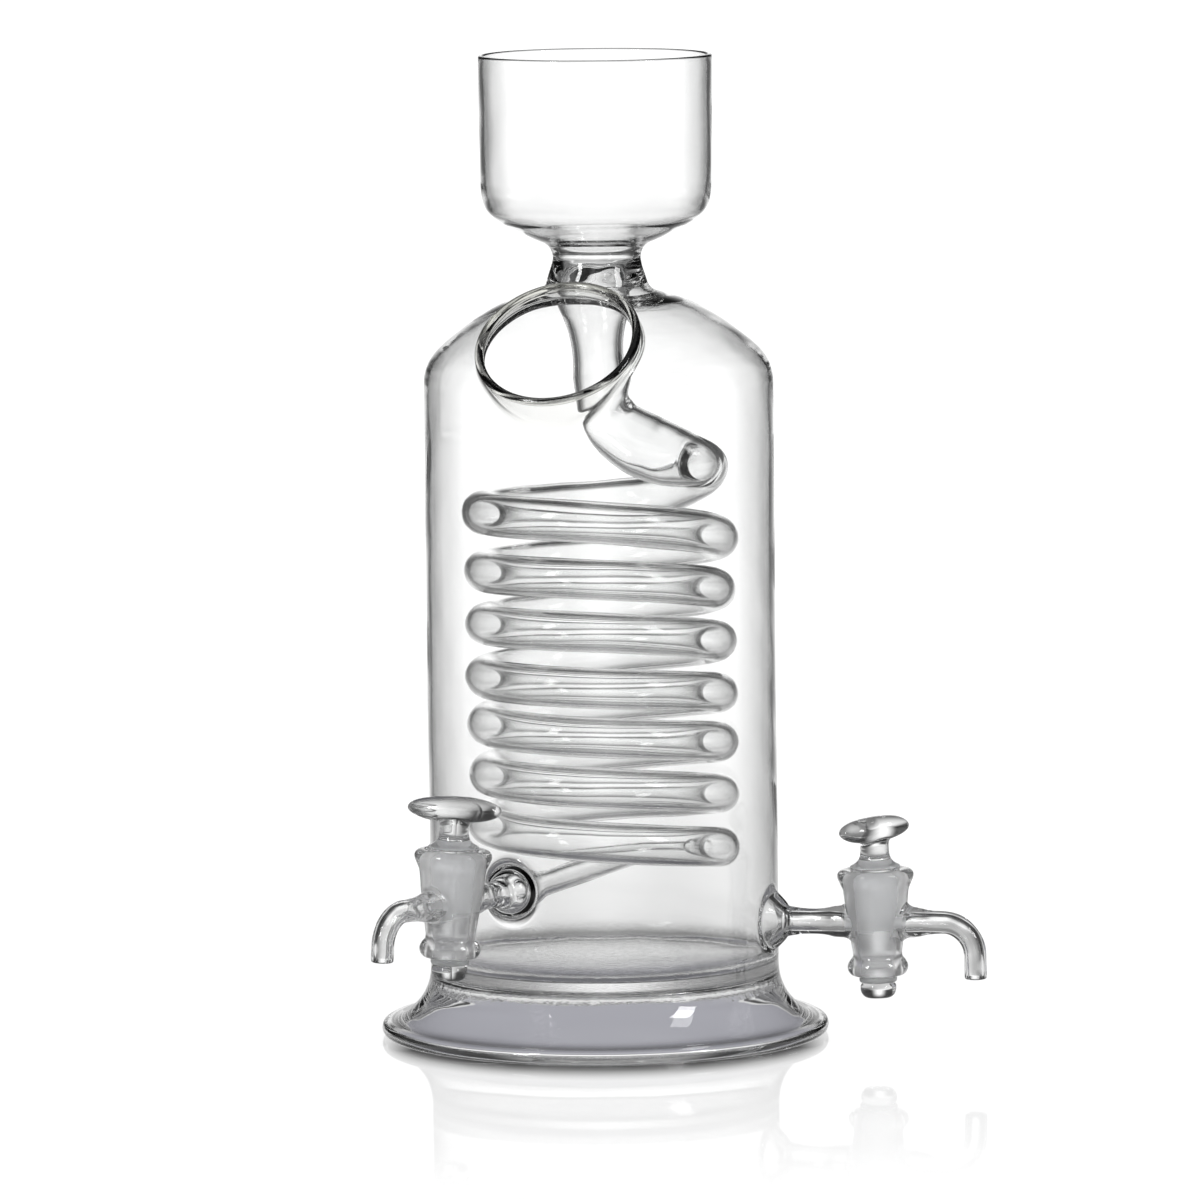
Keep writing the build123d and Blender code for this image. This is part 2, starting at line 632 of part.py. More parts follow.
made = {}
made["outlet_boss"] = make_boss(outlet_frame, "outlet_boss")
made["outlet_stem"] = make_stem(outlet_frame, "outlet_stem")
made["outlet_barrel"] = make_barrel(outlet_frame, "outlet_barrel")
made["outlet_spout"] = make_spout(outlet_frame, "outlet_spout", reach=41.0, drop=16.8, yaw=-4.0)
made["outlet_plug"] = make_plug(outlet_frame, "outlet_plug", outlet_handle_turn)
made["outlet_handle"] = make_handle(outlet_frame, "outlet_handle", outlet_handle_turn)
made["outlet_retaining_ring"] = make_ring(outlet_frame, "outlet_retaining_ring")
made["drain_boss"] = make_boss(drain_frame, "drain_boss")
made["drain_stem"] = make_stem(drain_frame, "drain_stem")
made["drain_barrel"] = make_barrel(drain_frame, "drain_barrel")
made["drain_spout"] = make_spout(drain_frame, "drain_spout", reach=37.4, drop=20.3, yaw=0.0)
made["drain_plug"] = make_plug(drain_frame, "drain_plug", drain_handle_turn)
made["drain_handle"] = make_handle(drain_frame, "drain_handle", drain_handle_turn)
made["drain_retaining_ring"] = make_ring(drain_frame, "drain_retaining_ring")

for nm, fr in (("outlet", outlet_frame), ("drain", drain_frame)):
    print(nm, "frame origin", tuple(round(v, 4) for v in fr.origin), "x", tuple(round(v, 5) for v in fr.x_dir),
          "z", tuple(round(v, 5) for v in fr.z_dir))
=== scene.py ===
import math

import bpy
import numpy as np
from mathutils import Matrix, Vector


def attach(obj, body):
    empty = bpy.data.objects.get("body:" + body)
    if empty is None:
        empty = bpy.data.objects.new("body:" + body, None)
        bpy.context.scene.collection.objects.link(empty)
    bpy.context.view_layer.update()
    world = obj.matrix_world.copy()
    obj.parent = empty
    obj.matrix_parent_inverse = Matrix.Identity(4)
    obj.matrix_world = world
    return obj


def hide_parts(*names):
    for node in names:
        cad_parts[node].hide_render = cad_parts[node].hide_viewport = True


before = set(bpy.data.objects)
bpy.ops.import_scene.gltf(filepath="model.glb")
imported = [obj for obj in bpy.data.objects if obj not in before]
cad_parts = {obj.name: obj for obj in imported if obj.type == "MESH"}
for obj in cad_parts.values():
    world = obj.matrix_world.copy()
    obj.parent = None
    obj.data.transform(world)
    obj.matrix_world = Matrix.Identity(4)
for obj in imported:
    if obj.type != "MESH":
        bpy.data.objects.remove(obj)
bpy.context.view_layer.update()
scene = bpy.context.scene
MM = 0.001
TAU = 2.0 * math.pi

# ---------------------------------------------------------------------------
# Camera: at the photograph's viewing angle, rolled by half a degree
# ---------------------------------------------------------------------------
eye = Vector((-0.6, -3560.0, 560.0)) * MM
aim = Vector((-0.6, 0.0, 162.7)) * MM
cam_data = bpy.data.cameras.new("photo_camera")
cam_data.sensor_width = 36.0
cam_data.lens = 288.5
cam_data.clip_start = 0.05
cam_data.clip_end = 60.0
camera = bpy.data.objects.new("photo_camera", cam_data)
scene.collection.objects.link(camera)
look = (aim - eye).to_track_quat("-Z", "Y").to_matrix().to_4x4()
camera.matrix_world = Matrix.Translation(eye) @ look @ Matrix.Rotation(math.radians(-0.54), 4, "Z")
scene.camera = camera


# ===========================================================================
# Surface tools. Everything is worked out in millimetres, as surfaces of glass:
# a patch is a grid of points. Patches that share a skin are welded and shaded
# as one smooth surface, and each piece takes the patches that carry its name.
# A profile is travelled with the glass on its right-hand side.
# ===========================================================================
patches = []


def add_grid(piece, skin, pts, closed=True, flip=False, slot=0, skip=()):
    nu, nv = pts.shape[:2]
    i, j = np.meshgrid(np.arange(nu - 1), np.arange(nv if closed else nv - 1), indexing="ij")
    keep = np.ones(i.shape, bool)
    for i0, i1, j0, j1 in skip:
        keep &= ~((i >= i0) & (i < i1) & (j >= j0) & (j < j1))
    a, b = i * nv + j, (i + 1) * nv + j
    c, d = (i + 1) * nv + (j + 1) % nv, i * nv + (j + 1) % nv
    quads = np.stack([a, b, c, d], -1)[keep].reshape(-1, 4)
    if flip:
        quads = quads[:, ::-1]
    patches.append((piece, skin, pts.reshape(-1, 3).copy(), quads.copy(), slot))


def rounded(points, step=2.0, arc=7.0):
    """Dense points of a line whose corners are arcs; a point is (x, y[, z]) or ((x, y[, z]), radius)."""
    pos, rad = [], []
    for p in points:
        if isinstance(p[0], (tuple, list, np.ndarray)):
            pos.append(np.array(p[0], float))
            rad.append(float(p[1]))
        else:
            pos.append(np.array(p, float))
            rad.append(0.0)
    out = [pos[0]]

    def run_to(q):
        p = out[-1]
        n = max(1, int(math.ceil(np.linalg.norm(q - p) / step)))
        for k in range(1, n + 1):
            if np.linalg.norm(q - p) > 1e-6:
                out.append(p + (q - p) * k / n)

    for k in range(1, len(pos) - 1):
        if rad[k] <= 0:
            run_to(pos[k])
            continue
        u, v = pos[k - 1] - pos[k], pos[k + 1] - pos[k]
        lu, lv = np.linalg.norm(u), np.linalg.norm(v)
        u, v = u / lu, v / lv
        turn = math.pi - math.acos(max(-1, min(1, float(u @ v))))
        if turn < 1e-4:
            run_to(pos[k])
            continue
        t = rad[k] * math.tan(turn / 2)
        t = min(t, 0.98 * lu, 0.98 * lv)
        r = t / math.tan(turn / 2)
        p0, p1 = pos[k] + u * t, pos[k] + v * t
        mid = (u + v) / np.linalg.norm(u + v)
        centre = pos[k] + mid * (r / math.cos(turn / 2))
        run_to(p0)
        n = max(2, int(math.ceil(math.degrees(turn) / arc)))
        a = (p0 - centre) / r
        b = (p1 - centre) / r
        for m in range(1, n + 1):
            w = turn * m / n
            out.append(centre + r * (math.sin(turn - w) * a + math.sin(w) * b) / math.sin(turn))
    run_to(pos[-1])
    return np.array(out)


def spline(points, step=1.0):
    """Dense points of a smooth line through the given ones (centripetal)."""
    p = np.array(points, float)
    p = np.vstack([2 * p[0] - p[1], p, 2 * p[-1] - p[-2]])
    out = [p[1]]
    for k in range(1, len(p) - 2):
        p0, p1, p2, p3 = p[k - 1], p[k], p[k + 1], p[k + 2]
        t0 = 0.0
        t1 = t0 + math.sqrt(np.linalg.norm(p1 - p0))
        t2 = t1 + math.sqrt(np.linalg.norm(p2 - p1))
        t3 = t2 + math.sqrt(np.linalg.norm(p3 - p2))
        n = max(1, int(math.ceil(np.linalg.norm(p2 - p1) / step)))
        for m in range(1, n + 1):
            t = t1 + (t2 - t1) * m / n
            a1 = (t1 - t) / (t1 - t0) * p0 + (t - t0) / (t1 - t0) * p1
            a2 = (t2 - t) / (t2 - t1) * p1 + (t - t1) / (t2 - t1) * p2
            a3 = (t3 - t) / (t3 - t2) * p2 + (t - t2) / (t3 - t2) * p3
            b1 = (t2 - t) / (t2 - t0) * a1 + (t - t0) / (t2 - t0) * a2
            b2 = (t3 - t) / (t3 - t1) * a2 + (t - t1) / (t3 - t1) * a3
            out.append((t2 - t) / (t2 - t1) * b1 + (t - t1) / (t2 - t1) * b2)
    return np.array(out)


def joined(*runs):
    """One line from several, without the doubled points where they meet."""
    out = [np.asarray(runs[0])]
    for r in runs[1:]:
        r = np.asarray(r)
        if np.linalg.norm(out[-1][-1] - r[0]) < 1e-6:
            r = r[1:]
        out.append(r)
    return np.vstack(out)


def nearest(profile, point):
    return int(np.argmin(np.linalg.norm(profile - np.array(point, float), axis=1)))


class Axes:
    """A place and three directions; z is the axis that things are turned about."""

    def __init__(self, o, x, y, z):
        self.o, self.x, self.y, self.z = (np.array(v, float) for v in (o, x, y, z))

    def out(self, x, y, z):
        x, y, z = np.broadcast_arrays(np.asarray(x, float), np.asarray(y, float), np.asarray(z, float))
        return self.o + x[..., None] * self.x + y[..., None] * self.y + z[..., None] * self.z


world = Axes((0, 0, 0), (1, 0, 0), (0, 1, 0), (0, 0, 1))


def turned_points(profile, axes, nv, start=0.0):
    """Grid of a profile (r, z) turned about axes.z, with nv columns."""
    a = start + TAU * np.arange(nv) / nv
    r, z = profile[:, 0][:, None], profile[:, 1][:, None]
    return axes.out(r * np.cos(a), r * np.sin(a), z + 0 * a)


def lathe(profile, pieces, skin, axes=world, nv=256, start=math.pi / 2, holes=(), flip=False, slot=0):
    """pieces is [(name, first point, last point)]; holes is [(row, row, angle, angle)] left open.
    Returns the grid and, for each hole, its edge as a closed line of points."""
    pts = turned_points(profile, axes, nv, start)
    rects, loops = [], []
    for r0, r1, a0, a1 in holes:
        j0 = int(math.floor((a0 - start) / TAU * nv))
        j1 = int(math.ceil((a1 - start) / TAU * nv))
        rects.append((r0, r1, j0, j1))
        edge = [(r0, j) for j in range(j0, j1)] + [(r, j1) for r in range(r0, r1)]
        edge += [(r1, j) for j in range(j1, j0, -1)] + [(r, j0) for r in range(r1, r0, -1)]
        loops.append(np.array([pts[i, j % nv] for i, j in edge]))
    for name, i0, i1, *own in pieces:
        local = [(max(r0, i0) - i0, min(r1, i1) - i0, j0, j1) for r0, r1, j0, j1 in rects if r1 > i0 and r0 < i1]
        add_grid(name, skin, pts[i0:i1 + 1], True, flip, own[0] if own else slot, local)
    return pts, loops


def reach(radius_at, axes, px, py, base=world, t_from=30.0, t_to=-60.0):
    """Where lines along axes.z through (px, py) first meet the turned surface r = radius_at(z) of base,
    coming from t_from."""
    def side(t):
        p = axes.out(px, py, t) - base.o
        z = p @ base.z
        r = np.sqrt(np.maximum(0.0, (p * p).sum(-1) - z * z))
        return r - radius_at(z)

    n = 240
    ts = np.linspace(t_from, t_to, n)
    s0 = side(np.full(px.shape, ts[0])) > 0
    lo = np.full(px.shape, ts[0])
    hi = np.full(px.shape, np.nan)
    found = np.zeros(px.shape, bool)
    for k in range(1, n):
        s = side(np.full(px.shape, ts[k])) > 0
        new = (s != s0) & ~found
        lo[new], hi[new] = ts[k - 1], ts[k]
        found |= new
    if not found.all():
        raise ValueError("a line misses the surface it should meet")
    for _ in range(36):
        mid = 0.5 * (lo + hi)
        same = (side(mid) > 0) == s0
        lo = np.where(same, mid, lo)
        hi = np.where(same, hi, mid)
    return 0.5 * (lo + hi)


def saddle(loop, axes, height, flare, rows=5):
    """Fills from an open edge in a surface to a ring about axes.z and on along a flare.
    flare is [(radius, lift above the surface)], starting on the surface; radius may depend on the angle.
    Returns the grid, its angles and the last ring's heights."""
    d = loop - axes.o
    px, py = d @ axes.x, d @ axes.y
    phi = np.unwrap(np.arctan2(py, px))
    if phi[-1] < phi[0]:
        loop, px, py = loop[::-1], px[::-1], py[::-1]
        phi = np.unwrap(np.arctan2(py, px))
    n = len(loop)
    rho = np.hypot(px, py)
    even = TAU * np.arange(n) / n
    even = even + np.mean(phi - even)
    first = flare[0][0](even) if callable(flare[0][0]) else np.full(n, float(flare[0][0]))
    grid = [loop]
    for k in range(1, rows + 1):
        s = k / rows
        r, a = (1 - s) * rho + s * first, (1 - s) * phi + s * even
        x, y = r * np.cos(a), r * np.sin(a)
        t = height(x, y)
        grid.append(axes.out(x, y, t))
    for r, lift in flare[1:]:
        r = r(even) if callable(r) else np.full(n, float(r))
        lift = lift(even) if callable(lift) else lift
        x, y = r * np.cos(even), r * np.sin(even)
        t = height(x, y) + lift
        grid.append(axes.out(x, y, t))
    return grid, even, t


def ring(axes, r, angles, t):
    return axes.out(r * np.cos(angles), r * np.sin(angles), np.zeros_like(angles) + t)


def carried(path, x0):
    """Directions carried along a path without twist: returns tangents, side and up for each point."""
    n = len(path)
    tang = np.empty_like(path)
    tang[1:-1] = path[2:] - path[:-2]
    tang[0], tang[-1] = path[1] - path[0], path[-1] - path[-2]
    tang /= np.linalg.norm(tang, axis=1)[:, None]
    side = np.empty_like(path)
    s = np.array(x0, float)
    for k in range(n):
        s = s - tang[k] * (s @ tang[k])
        s /= np.linalg.norm(s)
        side[k] = s
    return tang, side, np.cross(tang, side)


def tube_grid(path, radius, nv, x0, start=0.0, squeeze=None):
    tang, side, up = carried(path, x0)
    a = start + TAU * np.arange(nv) / nv
    r = np.broadcast_to(np.asarray(radius, float), (len(path),))[:, None]
    rs = r if squeeze is None else r * squeeze[:, None]
    return (path[:, None, :] + (r * np.cos(a))[..., None] * side[:, None, :]
            + (rs * np.sin(a))[..., None] * up[:, None, :])


def waves(p, seed, length, n=7):
    """Smooth unevenness about -1..1 at points p, with features about this many mm long; always the same."""
    rng = np.random.RandomState(seed)
    total = np.zeros(len(p))
    for _ in range(n):
        d = rng.normal(size=3)
        d *= TAU / (length * rng.uniform(0.7, 1.6)) / np.linalg.norm(d)
        total += np.sin(p @ d + rng.uniform(0, TAU))
    return total / math.sqrt(n) / 1.3


def finish_surfaces(uneven):
    """Welds each skin, works out its smooth normals and its unevenness, and returns each piece's mesh data."""
    pieces = {}
    for skin in sorted(set(p[1] for p in patches)):
        mine = [p for p in patches if p[1] == skin]
        verts = np.vstack([p[2] for p in mine])
        keys = np.round(verts / 2e-3).astype(np.int64)
        _, index, back = np.unique(keys, axis=0, return_index=True, return_inverse=True)
        back = back.reshape(-1)
        pos = verts[index]

        def normals(pos, quads):
            n = np.zeros_like(pos)
            q = pos[quads]
            face = np.cross(q[:, 2] - q[:, 0], q[:, 3] - q[:, 1])
            for c in range(4):
                e1 = q[:, (c + 1) % 4] - q[:, c]
                e2 = q[:, (c - 1) % 4] - q[:, c]
                l1, l2 = np.linalg.norm(e1, axis=1), np.linalg.norm(e2, axis=1)
                ok = (l1 > 1e-9) & (l2 > 1e-9)
                cosine = np.zeros(len(q))
                cosine[ok] = (e1[ok] * e2[ok]).sum(1) / (l1[ok] * l2[ok])
                angle = np.where(ok, np.arccos(np.clip(cosine, -1, 1)), 0.0)
                unit = face / np.maximum(1e-12, np.linalg.norm(face, axis=1))[:, None]
                np.add.at(n, quads[:, c], unit * angle[:, None])
            return n / np.maximum(1e-12, np.linalg.norm(n, axis=1))[:, None]

        base, quads, tags = 0, [], []
        for k, p in enumerate(mine):
            quads.append(back[p[3] + base])
            tags.append(np.full(len(p[3]), k))
            base += len(p[2])
        quads, tags = np.vstack(quads), np.concatenate(tags)
        n = normals(pos, quads)
        move = uneven(skin, pos, n)
        if move is not None:
            pos = pos + move
            n = normals(pos, quads)
        for k, p in enumerate(mine):
            pieces.setdefault(p[0], []).append((pos, n, quads[tags == k], p[4]))
    return pieces


def make_piece(name, parts, mats):
    """A Blender object from the patches of one piece."""
    co, no, faces, slots, base = [], [], [], [], 0
    for pos, n, quads, slot in parts:
        used, inv = np.unique(quads, return_inverse=True)
        inv = inv.reshape(quads.shape)
        co.append(pos[used])
        no.append(n[used])
        faces += [(f + base, slot) for f in inv]
        base += len(used)
    co, no = np.vstack(co) * MM, np.vstack(no)
    # weld what this piece's own patches share
    keys = np.hstack([np.round(co / 2e-6), np.round(no * 200)]).astype(np.int64)
    _, index, back = np.unique(keys, axis=0, return_index=True, return_inverse=True)
    back = back.reshape(-1)
    co, no = co[index], no[index]
    polys, mat = [], []
    for f, slot in faces:
        g = [int(v) for v in back[f]]
        g = [v for k, v in enumerate(g) if v != g[k - 1]]
        if len(set(g)) >= 3 and len(set(g)) == len(g):
            polys.append(g)
            mat.append(slot)
    me = bpy.data.meshes.new(name)
    me.from_pydata(co.tolist(), [], polys)
    me.polygons.foreach_set("material_index", np.array(mat, np.int32))
    me.polygons.foreach_set("use_smooth", np.ones(len(polys), bool))
    for m in mats:
        me.materials.append(m)
    me.update()
    me.normals_split_custom_set_from_vertices(no.tolist())
    ob = bpy.data.objects.new(name, me)
    scene.collection.objects.link(ob)
    return ob


# ===========================================================================
# Taps: places and directions
# ===========================================================================
def tap_axes(azimuth, reach_mm, height, roll, pitch):
    a, p, q = math.radians(azimuth), math.radians(pitch), math.radians(roll)
    arm = np.array([math.cos(a), math.sin(a), 0.0])
    side = np.array([-math.sin(a), math.cos(a), 0.0])
    up = np.array([0.0, 0.0, 1.0])
    x = arm * math.cos(p) + up * math.sin(p)
    z = (up * math.cos(p) - arm * math.sin(p)) * math.cos(q) + side * math.sin(q)
    return Axes((reach_mm * math.cos(a), reach_mm * math.sin(a), height), x, np.cross(z, x), z)


REACH = 105.4
tap_at = {"outlet": tap_axes(238.1, REACH, 62.0, 2.4, 1.0), "drain": tap_axes(-17.0, REACH, 45.2, 0.0, 1.3)}
handle_turn = {"outlet": math.radians(111.9), "drain": math.radians(-117.0)}
R_OUT, R_IN = 65.0, 63.3

# ===========================================================================
# Vessel, outside: from the drop tube's bore up through the bowl, over its rim,
# down the outside to the foot's bead and up under the floor
# ===========================================================================
outside = joined(
    spline([(12.3, 276.0), (12.4, 282.0), (12.8, 286.0), (13.6, 289.6), (14.0, 292.4), (14.3, 295.0), (15.4, 296.8),
            (18.2, 298.0), (22.7, 299.7), (27.8, 302.0), (32.0, 304.1), (35.4, 306.0), (37.9, 308.1), (39.5, 310.7),
            (40.5, 314.0), (41.0, 317.6), (41.2, 322.0)], 0.8),
    rounded([(41.2, 322.0), (41.5, 363.6)], 2.4),
    rounded([(41.5, 363.6), ((41.6, 366.0), 0.85), ((43.4, 366.0), 0.85), (43.4, 363.9)], 0.4, 9),
    spline([(43.4, 363.9), (43.35, 352.0), (43.15, 336.0), (42.9, 320.0)], 2.0),
    spline([(42.9, 320.0), (42.7, 315.4), (42.0, 311.5), (40.9, 309.0), (38.9, 306.7), (36.3, 304.6), (32.8, 302.5),
            (28.5, 300.3), (23.5, 297.9), (19.6, 296.2), (17.8, 294.9), (16.8, 293.1), (16.3, 291.0), (16.6, 288.8),
            (17.2, 286.6), (18.0, 284.3), (18.6, 282.2)], 0.8),
    spline([(18.6, 282.2), (19.3, 280.4), (20.8, 278.9), (24.6, 277.5), (30.2, 275.9), (35.4, 273.9), (42.0, 270.3),
            (47.8, 266.6), (52.8, 262.8), (57.4, 259.0), (61.1, 255.2), (63.6, 251.2), (64.8, 247.4), (65.0, 244.0),
            (65.0, 241.0)], 0.9),
    rounded([(65.0, 241.0), (65.0, 30.0)], 2.4),
    spline([(65.0, 30.0), (65.0, 25.5), (65.8, 20.2), (68.2, 14.6), (72.1, 10.0), (76.1, 7.3), (79.3, 6.2),
            (81.2, 5.9)], 0.8),
    spline([(81.2, 5.9), (82.9, 4.9), (83.5, 3.1), (82.9, 1.3), (81.3, 0.25), (80.2, 0.05), (79.1, 0.3),
            (77.4, 1.4)], 0.5),
    spline([(77.4, 1.4), (75.7, 3.1), (73.0, 5.2), (70.0, 7.7), (67.4, 10.9), (65.3, 14.6), (64.1, 17.6), (63.4, 20.2),
            (62.5, 22.2), (60.7, 23.5), (57.4, 23.95), (52.0, 24.0), (46.0, 24.0), (40.0, 24.0)], 0.8),
    rounded([(40.0, 24.0), (0.0, 24.0)], 3.0),
)
outside_r = {}


def table(profile, z_low, z_high):
    """Radius of a profile as a function of height, for the stretch that is traversed downwards."""
    keep = (profile[:, 1] >= z_low) & (profile[:, 1] <= z_high)
    z, r = profile[keep, 1], profile[keep, 0]
    order = np.argsort(z)
    z, r = z[order], r[order]
    return lambda q: np.interp(q, z, r)


o_neck_bore = nearest(outside, (13.2, 288.0))
o_neck_top_in = nearest(outside, (14.3, 295.0))
o_rim = nearest(outside, (17.8, 294.9))
o_neck_low = nearest(outside, (19.3, 280.4))
o_shoulder = nearest(outside, (65.0, 225.0))
o_wall = nearest(outside, (65.0, 33.0))
o_skirt = nearest(outside, (81.2, 5.9))
o_bead = nearest(outside, (77.4, 1.4))
o_under = nearest(outside, (64.1, 17.6))
outer_part = outside[o_rim:o_skirt]
outer_radius = table(outer_part, 26.0, 294.5)

# ice port
port = Axes((-14.7, -48.0, 262.6), (0.953, -0.303, 0.0), (0, 0, 0), (-0.200, -0.628, 0.752))
port.z /= np.linalg.norm(port.z)
port.x /= np.linalg.norm(port.x)
port.y = np.cross(port.z, port.x)
row_top, row_low = nearest(outer_part, (20.8, 278.6)) + o_rim, nearest(outer_part, (65.0, 227.5)) + o_rim
port_hole = (row_top, row_low, math.radians(206.0), math.radians(302.0))


def arm_hole(axes, profile, first, z, half_z, half_a):
    rows = [k + first for k in range(len(profile)) if abs(profile[k, 1] - z) <= half_z]
    a = math.atan2(axes.x[1], axes.x[0]) % TAU
    if a < math.pi / 2:
        a += TAU
    return (rows[0], rows[-1], a - half_a, a + half_a)


holes = [port_hole]
for side in ("outlet", "drain"):
    ax = tap_at[side]
    at_wall = ax.out(-REACH + R_OUT, 0, 0)
    holes.append(arm_hole(ax, outer_part, o_rim, float(at_wall[2]), 18.5, 0.285))
_, outer_loops = lathe(outside, [
    ("drop_tube_glass", 0, o_neck_bore), ("neck_glass", o_neck_bore, o_neck_top_in),
    ("bowl_glass", o_neck_top_in, o_rim), ("neck_glass", o_rim, o_neck_low),
    ("shoulder_glass", o_neck_low, o_shoulder), ("wall_glass", o_shoulder, o_wall),
    ("skirt_glass", o_wall, o_skirt), ("foot_bead", o_skirt, o_bead),
    ("skirt_glass", o_bead, o_under), ("floor_glass", o_under, len(outside) - 1)],
    "vessel", holes=holes)

# ===========================================================================
# Vessel, inside of the jacket: from the floor's middle out to the heel, up the
# wall, under the dome and down the outside of the drop tube
# ===========================================================================
inside = joined(
    rounded([(0.0, 27.0), (53.0, 27.0)], 2.2),
    spline([(53.0, 27.0), (55.8, 27.2), (58.8, 28.0), (61.1, 29.7), (62.6, 32.4), (63.2, 36.0), (63.3, 40.0)], 0.7),
    rounded([(63.3, 40.0), (63.3, 238.0)], 2.4),
    spline([(63.3, 238.0), (63.3, 241.2), (63.28, 245.38), (62.6, 249.04), (60.88, 252.45), (58.41, 255.46),
            (55.42, 258.18), (52.17, 260.78), (48.84, 263.33), (45.47, 265.68), (41.93, 267.83),
            (38.28, 269.87), (34.64, 271.66), (30.9, 273.08), (26.95, 274.03), (22.64, 274.91), (20.6, 274.8), (17.8, 276.6),
            (16.4, 279.0), (15.7, 280.4),
            (15.2, 279.8), (14.7, 277.8), (14.3, 275.6), (13.5, 272.0), (12.1, 268.6)], 0.8),
    spline([(12.1, 268.6), (10.9, 265.0), (10.0, 261.0), (9.5, 256.0), (9.6, 250.0), (10.0, 246.0)], 1.0),
)
i_floor = nearest(inside, (62.6, 32.4))
i_wall = nearest(inside, (63.3, 225.0))
i_dome = nearest(inside, (17.8, 276.6))
i_neck = nearest(inside, (14.7, 277.8))
inner_part = inside[i_floor:i_dome]
inner_radius = table(inner_part, 33.0, 275.5)
rows_in = (nearest(inner_part, (63.3, 228.5)) + i_floor, nearest(inner_part, (22.0, 274.5)) + i_floor)
inner_holes = [(rows_in[0], rows_in[1], math.radians(206.0), math.radians(302.0))]
for side in ("outlet", "drain"):
    ax = tap_at[side]
    at_wall = ax.out(-REACH + R_IN, 0, 0)
    inner_holes.append(arm_hole(ax, inner_part, i_floor, float(at_wall[2]), 12.5 if side == "drain" else 13.5, 0.235))
_, inner_loops = lathe(inside, [
    ("floor_glass", 0, i_floor), ("wall_glass", i_floor, i_wall), ("shoulder_glass", i_wall, i_dome),
    ("neck_glass", i_dome, i_neck), ("drop_tube_glass", i_neck, len(inside) - 1)],
    "vessel", holes=inner_holes)

# ===========================================================================
# Ice port: collar and its rolled rim
# ===========================================================================
def over_dome(x, y):
    return reach(outer_radius, port, x, y, t_from=24.0, t_to=-56.0)


def under_dome(x, y):
    return reach(inner_radius, port, x, y, t_from=-60.0 + 62.0, t_to=-62.0)


PORT_OUT, PORT_IN, PORT_END = 30.3, 27.9, -1.1
flare_in = [(31.9, 0.0), (31.5, 0.1), (31.1, 0.3), (30.75, 0.6), (30.5, 1.0), (30.35, 1.4)]
grid, even, t = saddle(outer_loops[0], port, over_dome, flare_in, rows=9)
for k in range(1, 8):
    s = k / 7
    tt = t + (np.maximum(PORT_END, t) - t) * s * 0 + (PORT_END - t) * s
    grid.append(ring(port, PORT_OUT + 0.05 * (1 - s), even, tt))
grid = np.array(grid)
cut = 9
add_grid("shoulder_glass", "vessel", grid[:cut + 1], flip=True)
add_grid("ice_port_collar_glass", "vessel", grid[cut:], flip=True)

flare_hole = [(29.2, 0.0), (28.7, 0.15), (28.3, 0.5), (28.05, 1.0), (27.92, 1.6)]
grid, even, t = saddle(inner_loops[0], port, under_dome, flare_hole, rows=9)
for k in range(1, 8):
    grid.append(ring(port, PORT_IN, even, t + (PORT_END - t) * k / 7))
grid = np.array(grid)
add_grid("shoulder_glass", "vessel", grid[:cut + 1])
add_grid("ice_port_collar_glass", "vessel", grid[cut:])

bead = spline([(PORT_IN, PORT_END), (27.8, -0.4), (28.0, 0.6), (28.8, 1.45), (29.7, 1.6), (30.7, 1.15), (31.15, 0.2),
               (30.95, -0.6), (30.4, -1.0), (PORT_OUT, PORT_END)], 0.35)
lathe(bead, [("ice_port_bead", 0, len(bead) - 1)], "port_bead", axes=port, nv=200, start=0.0)

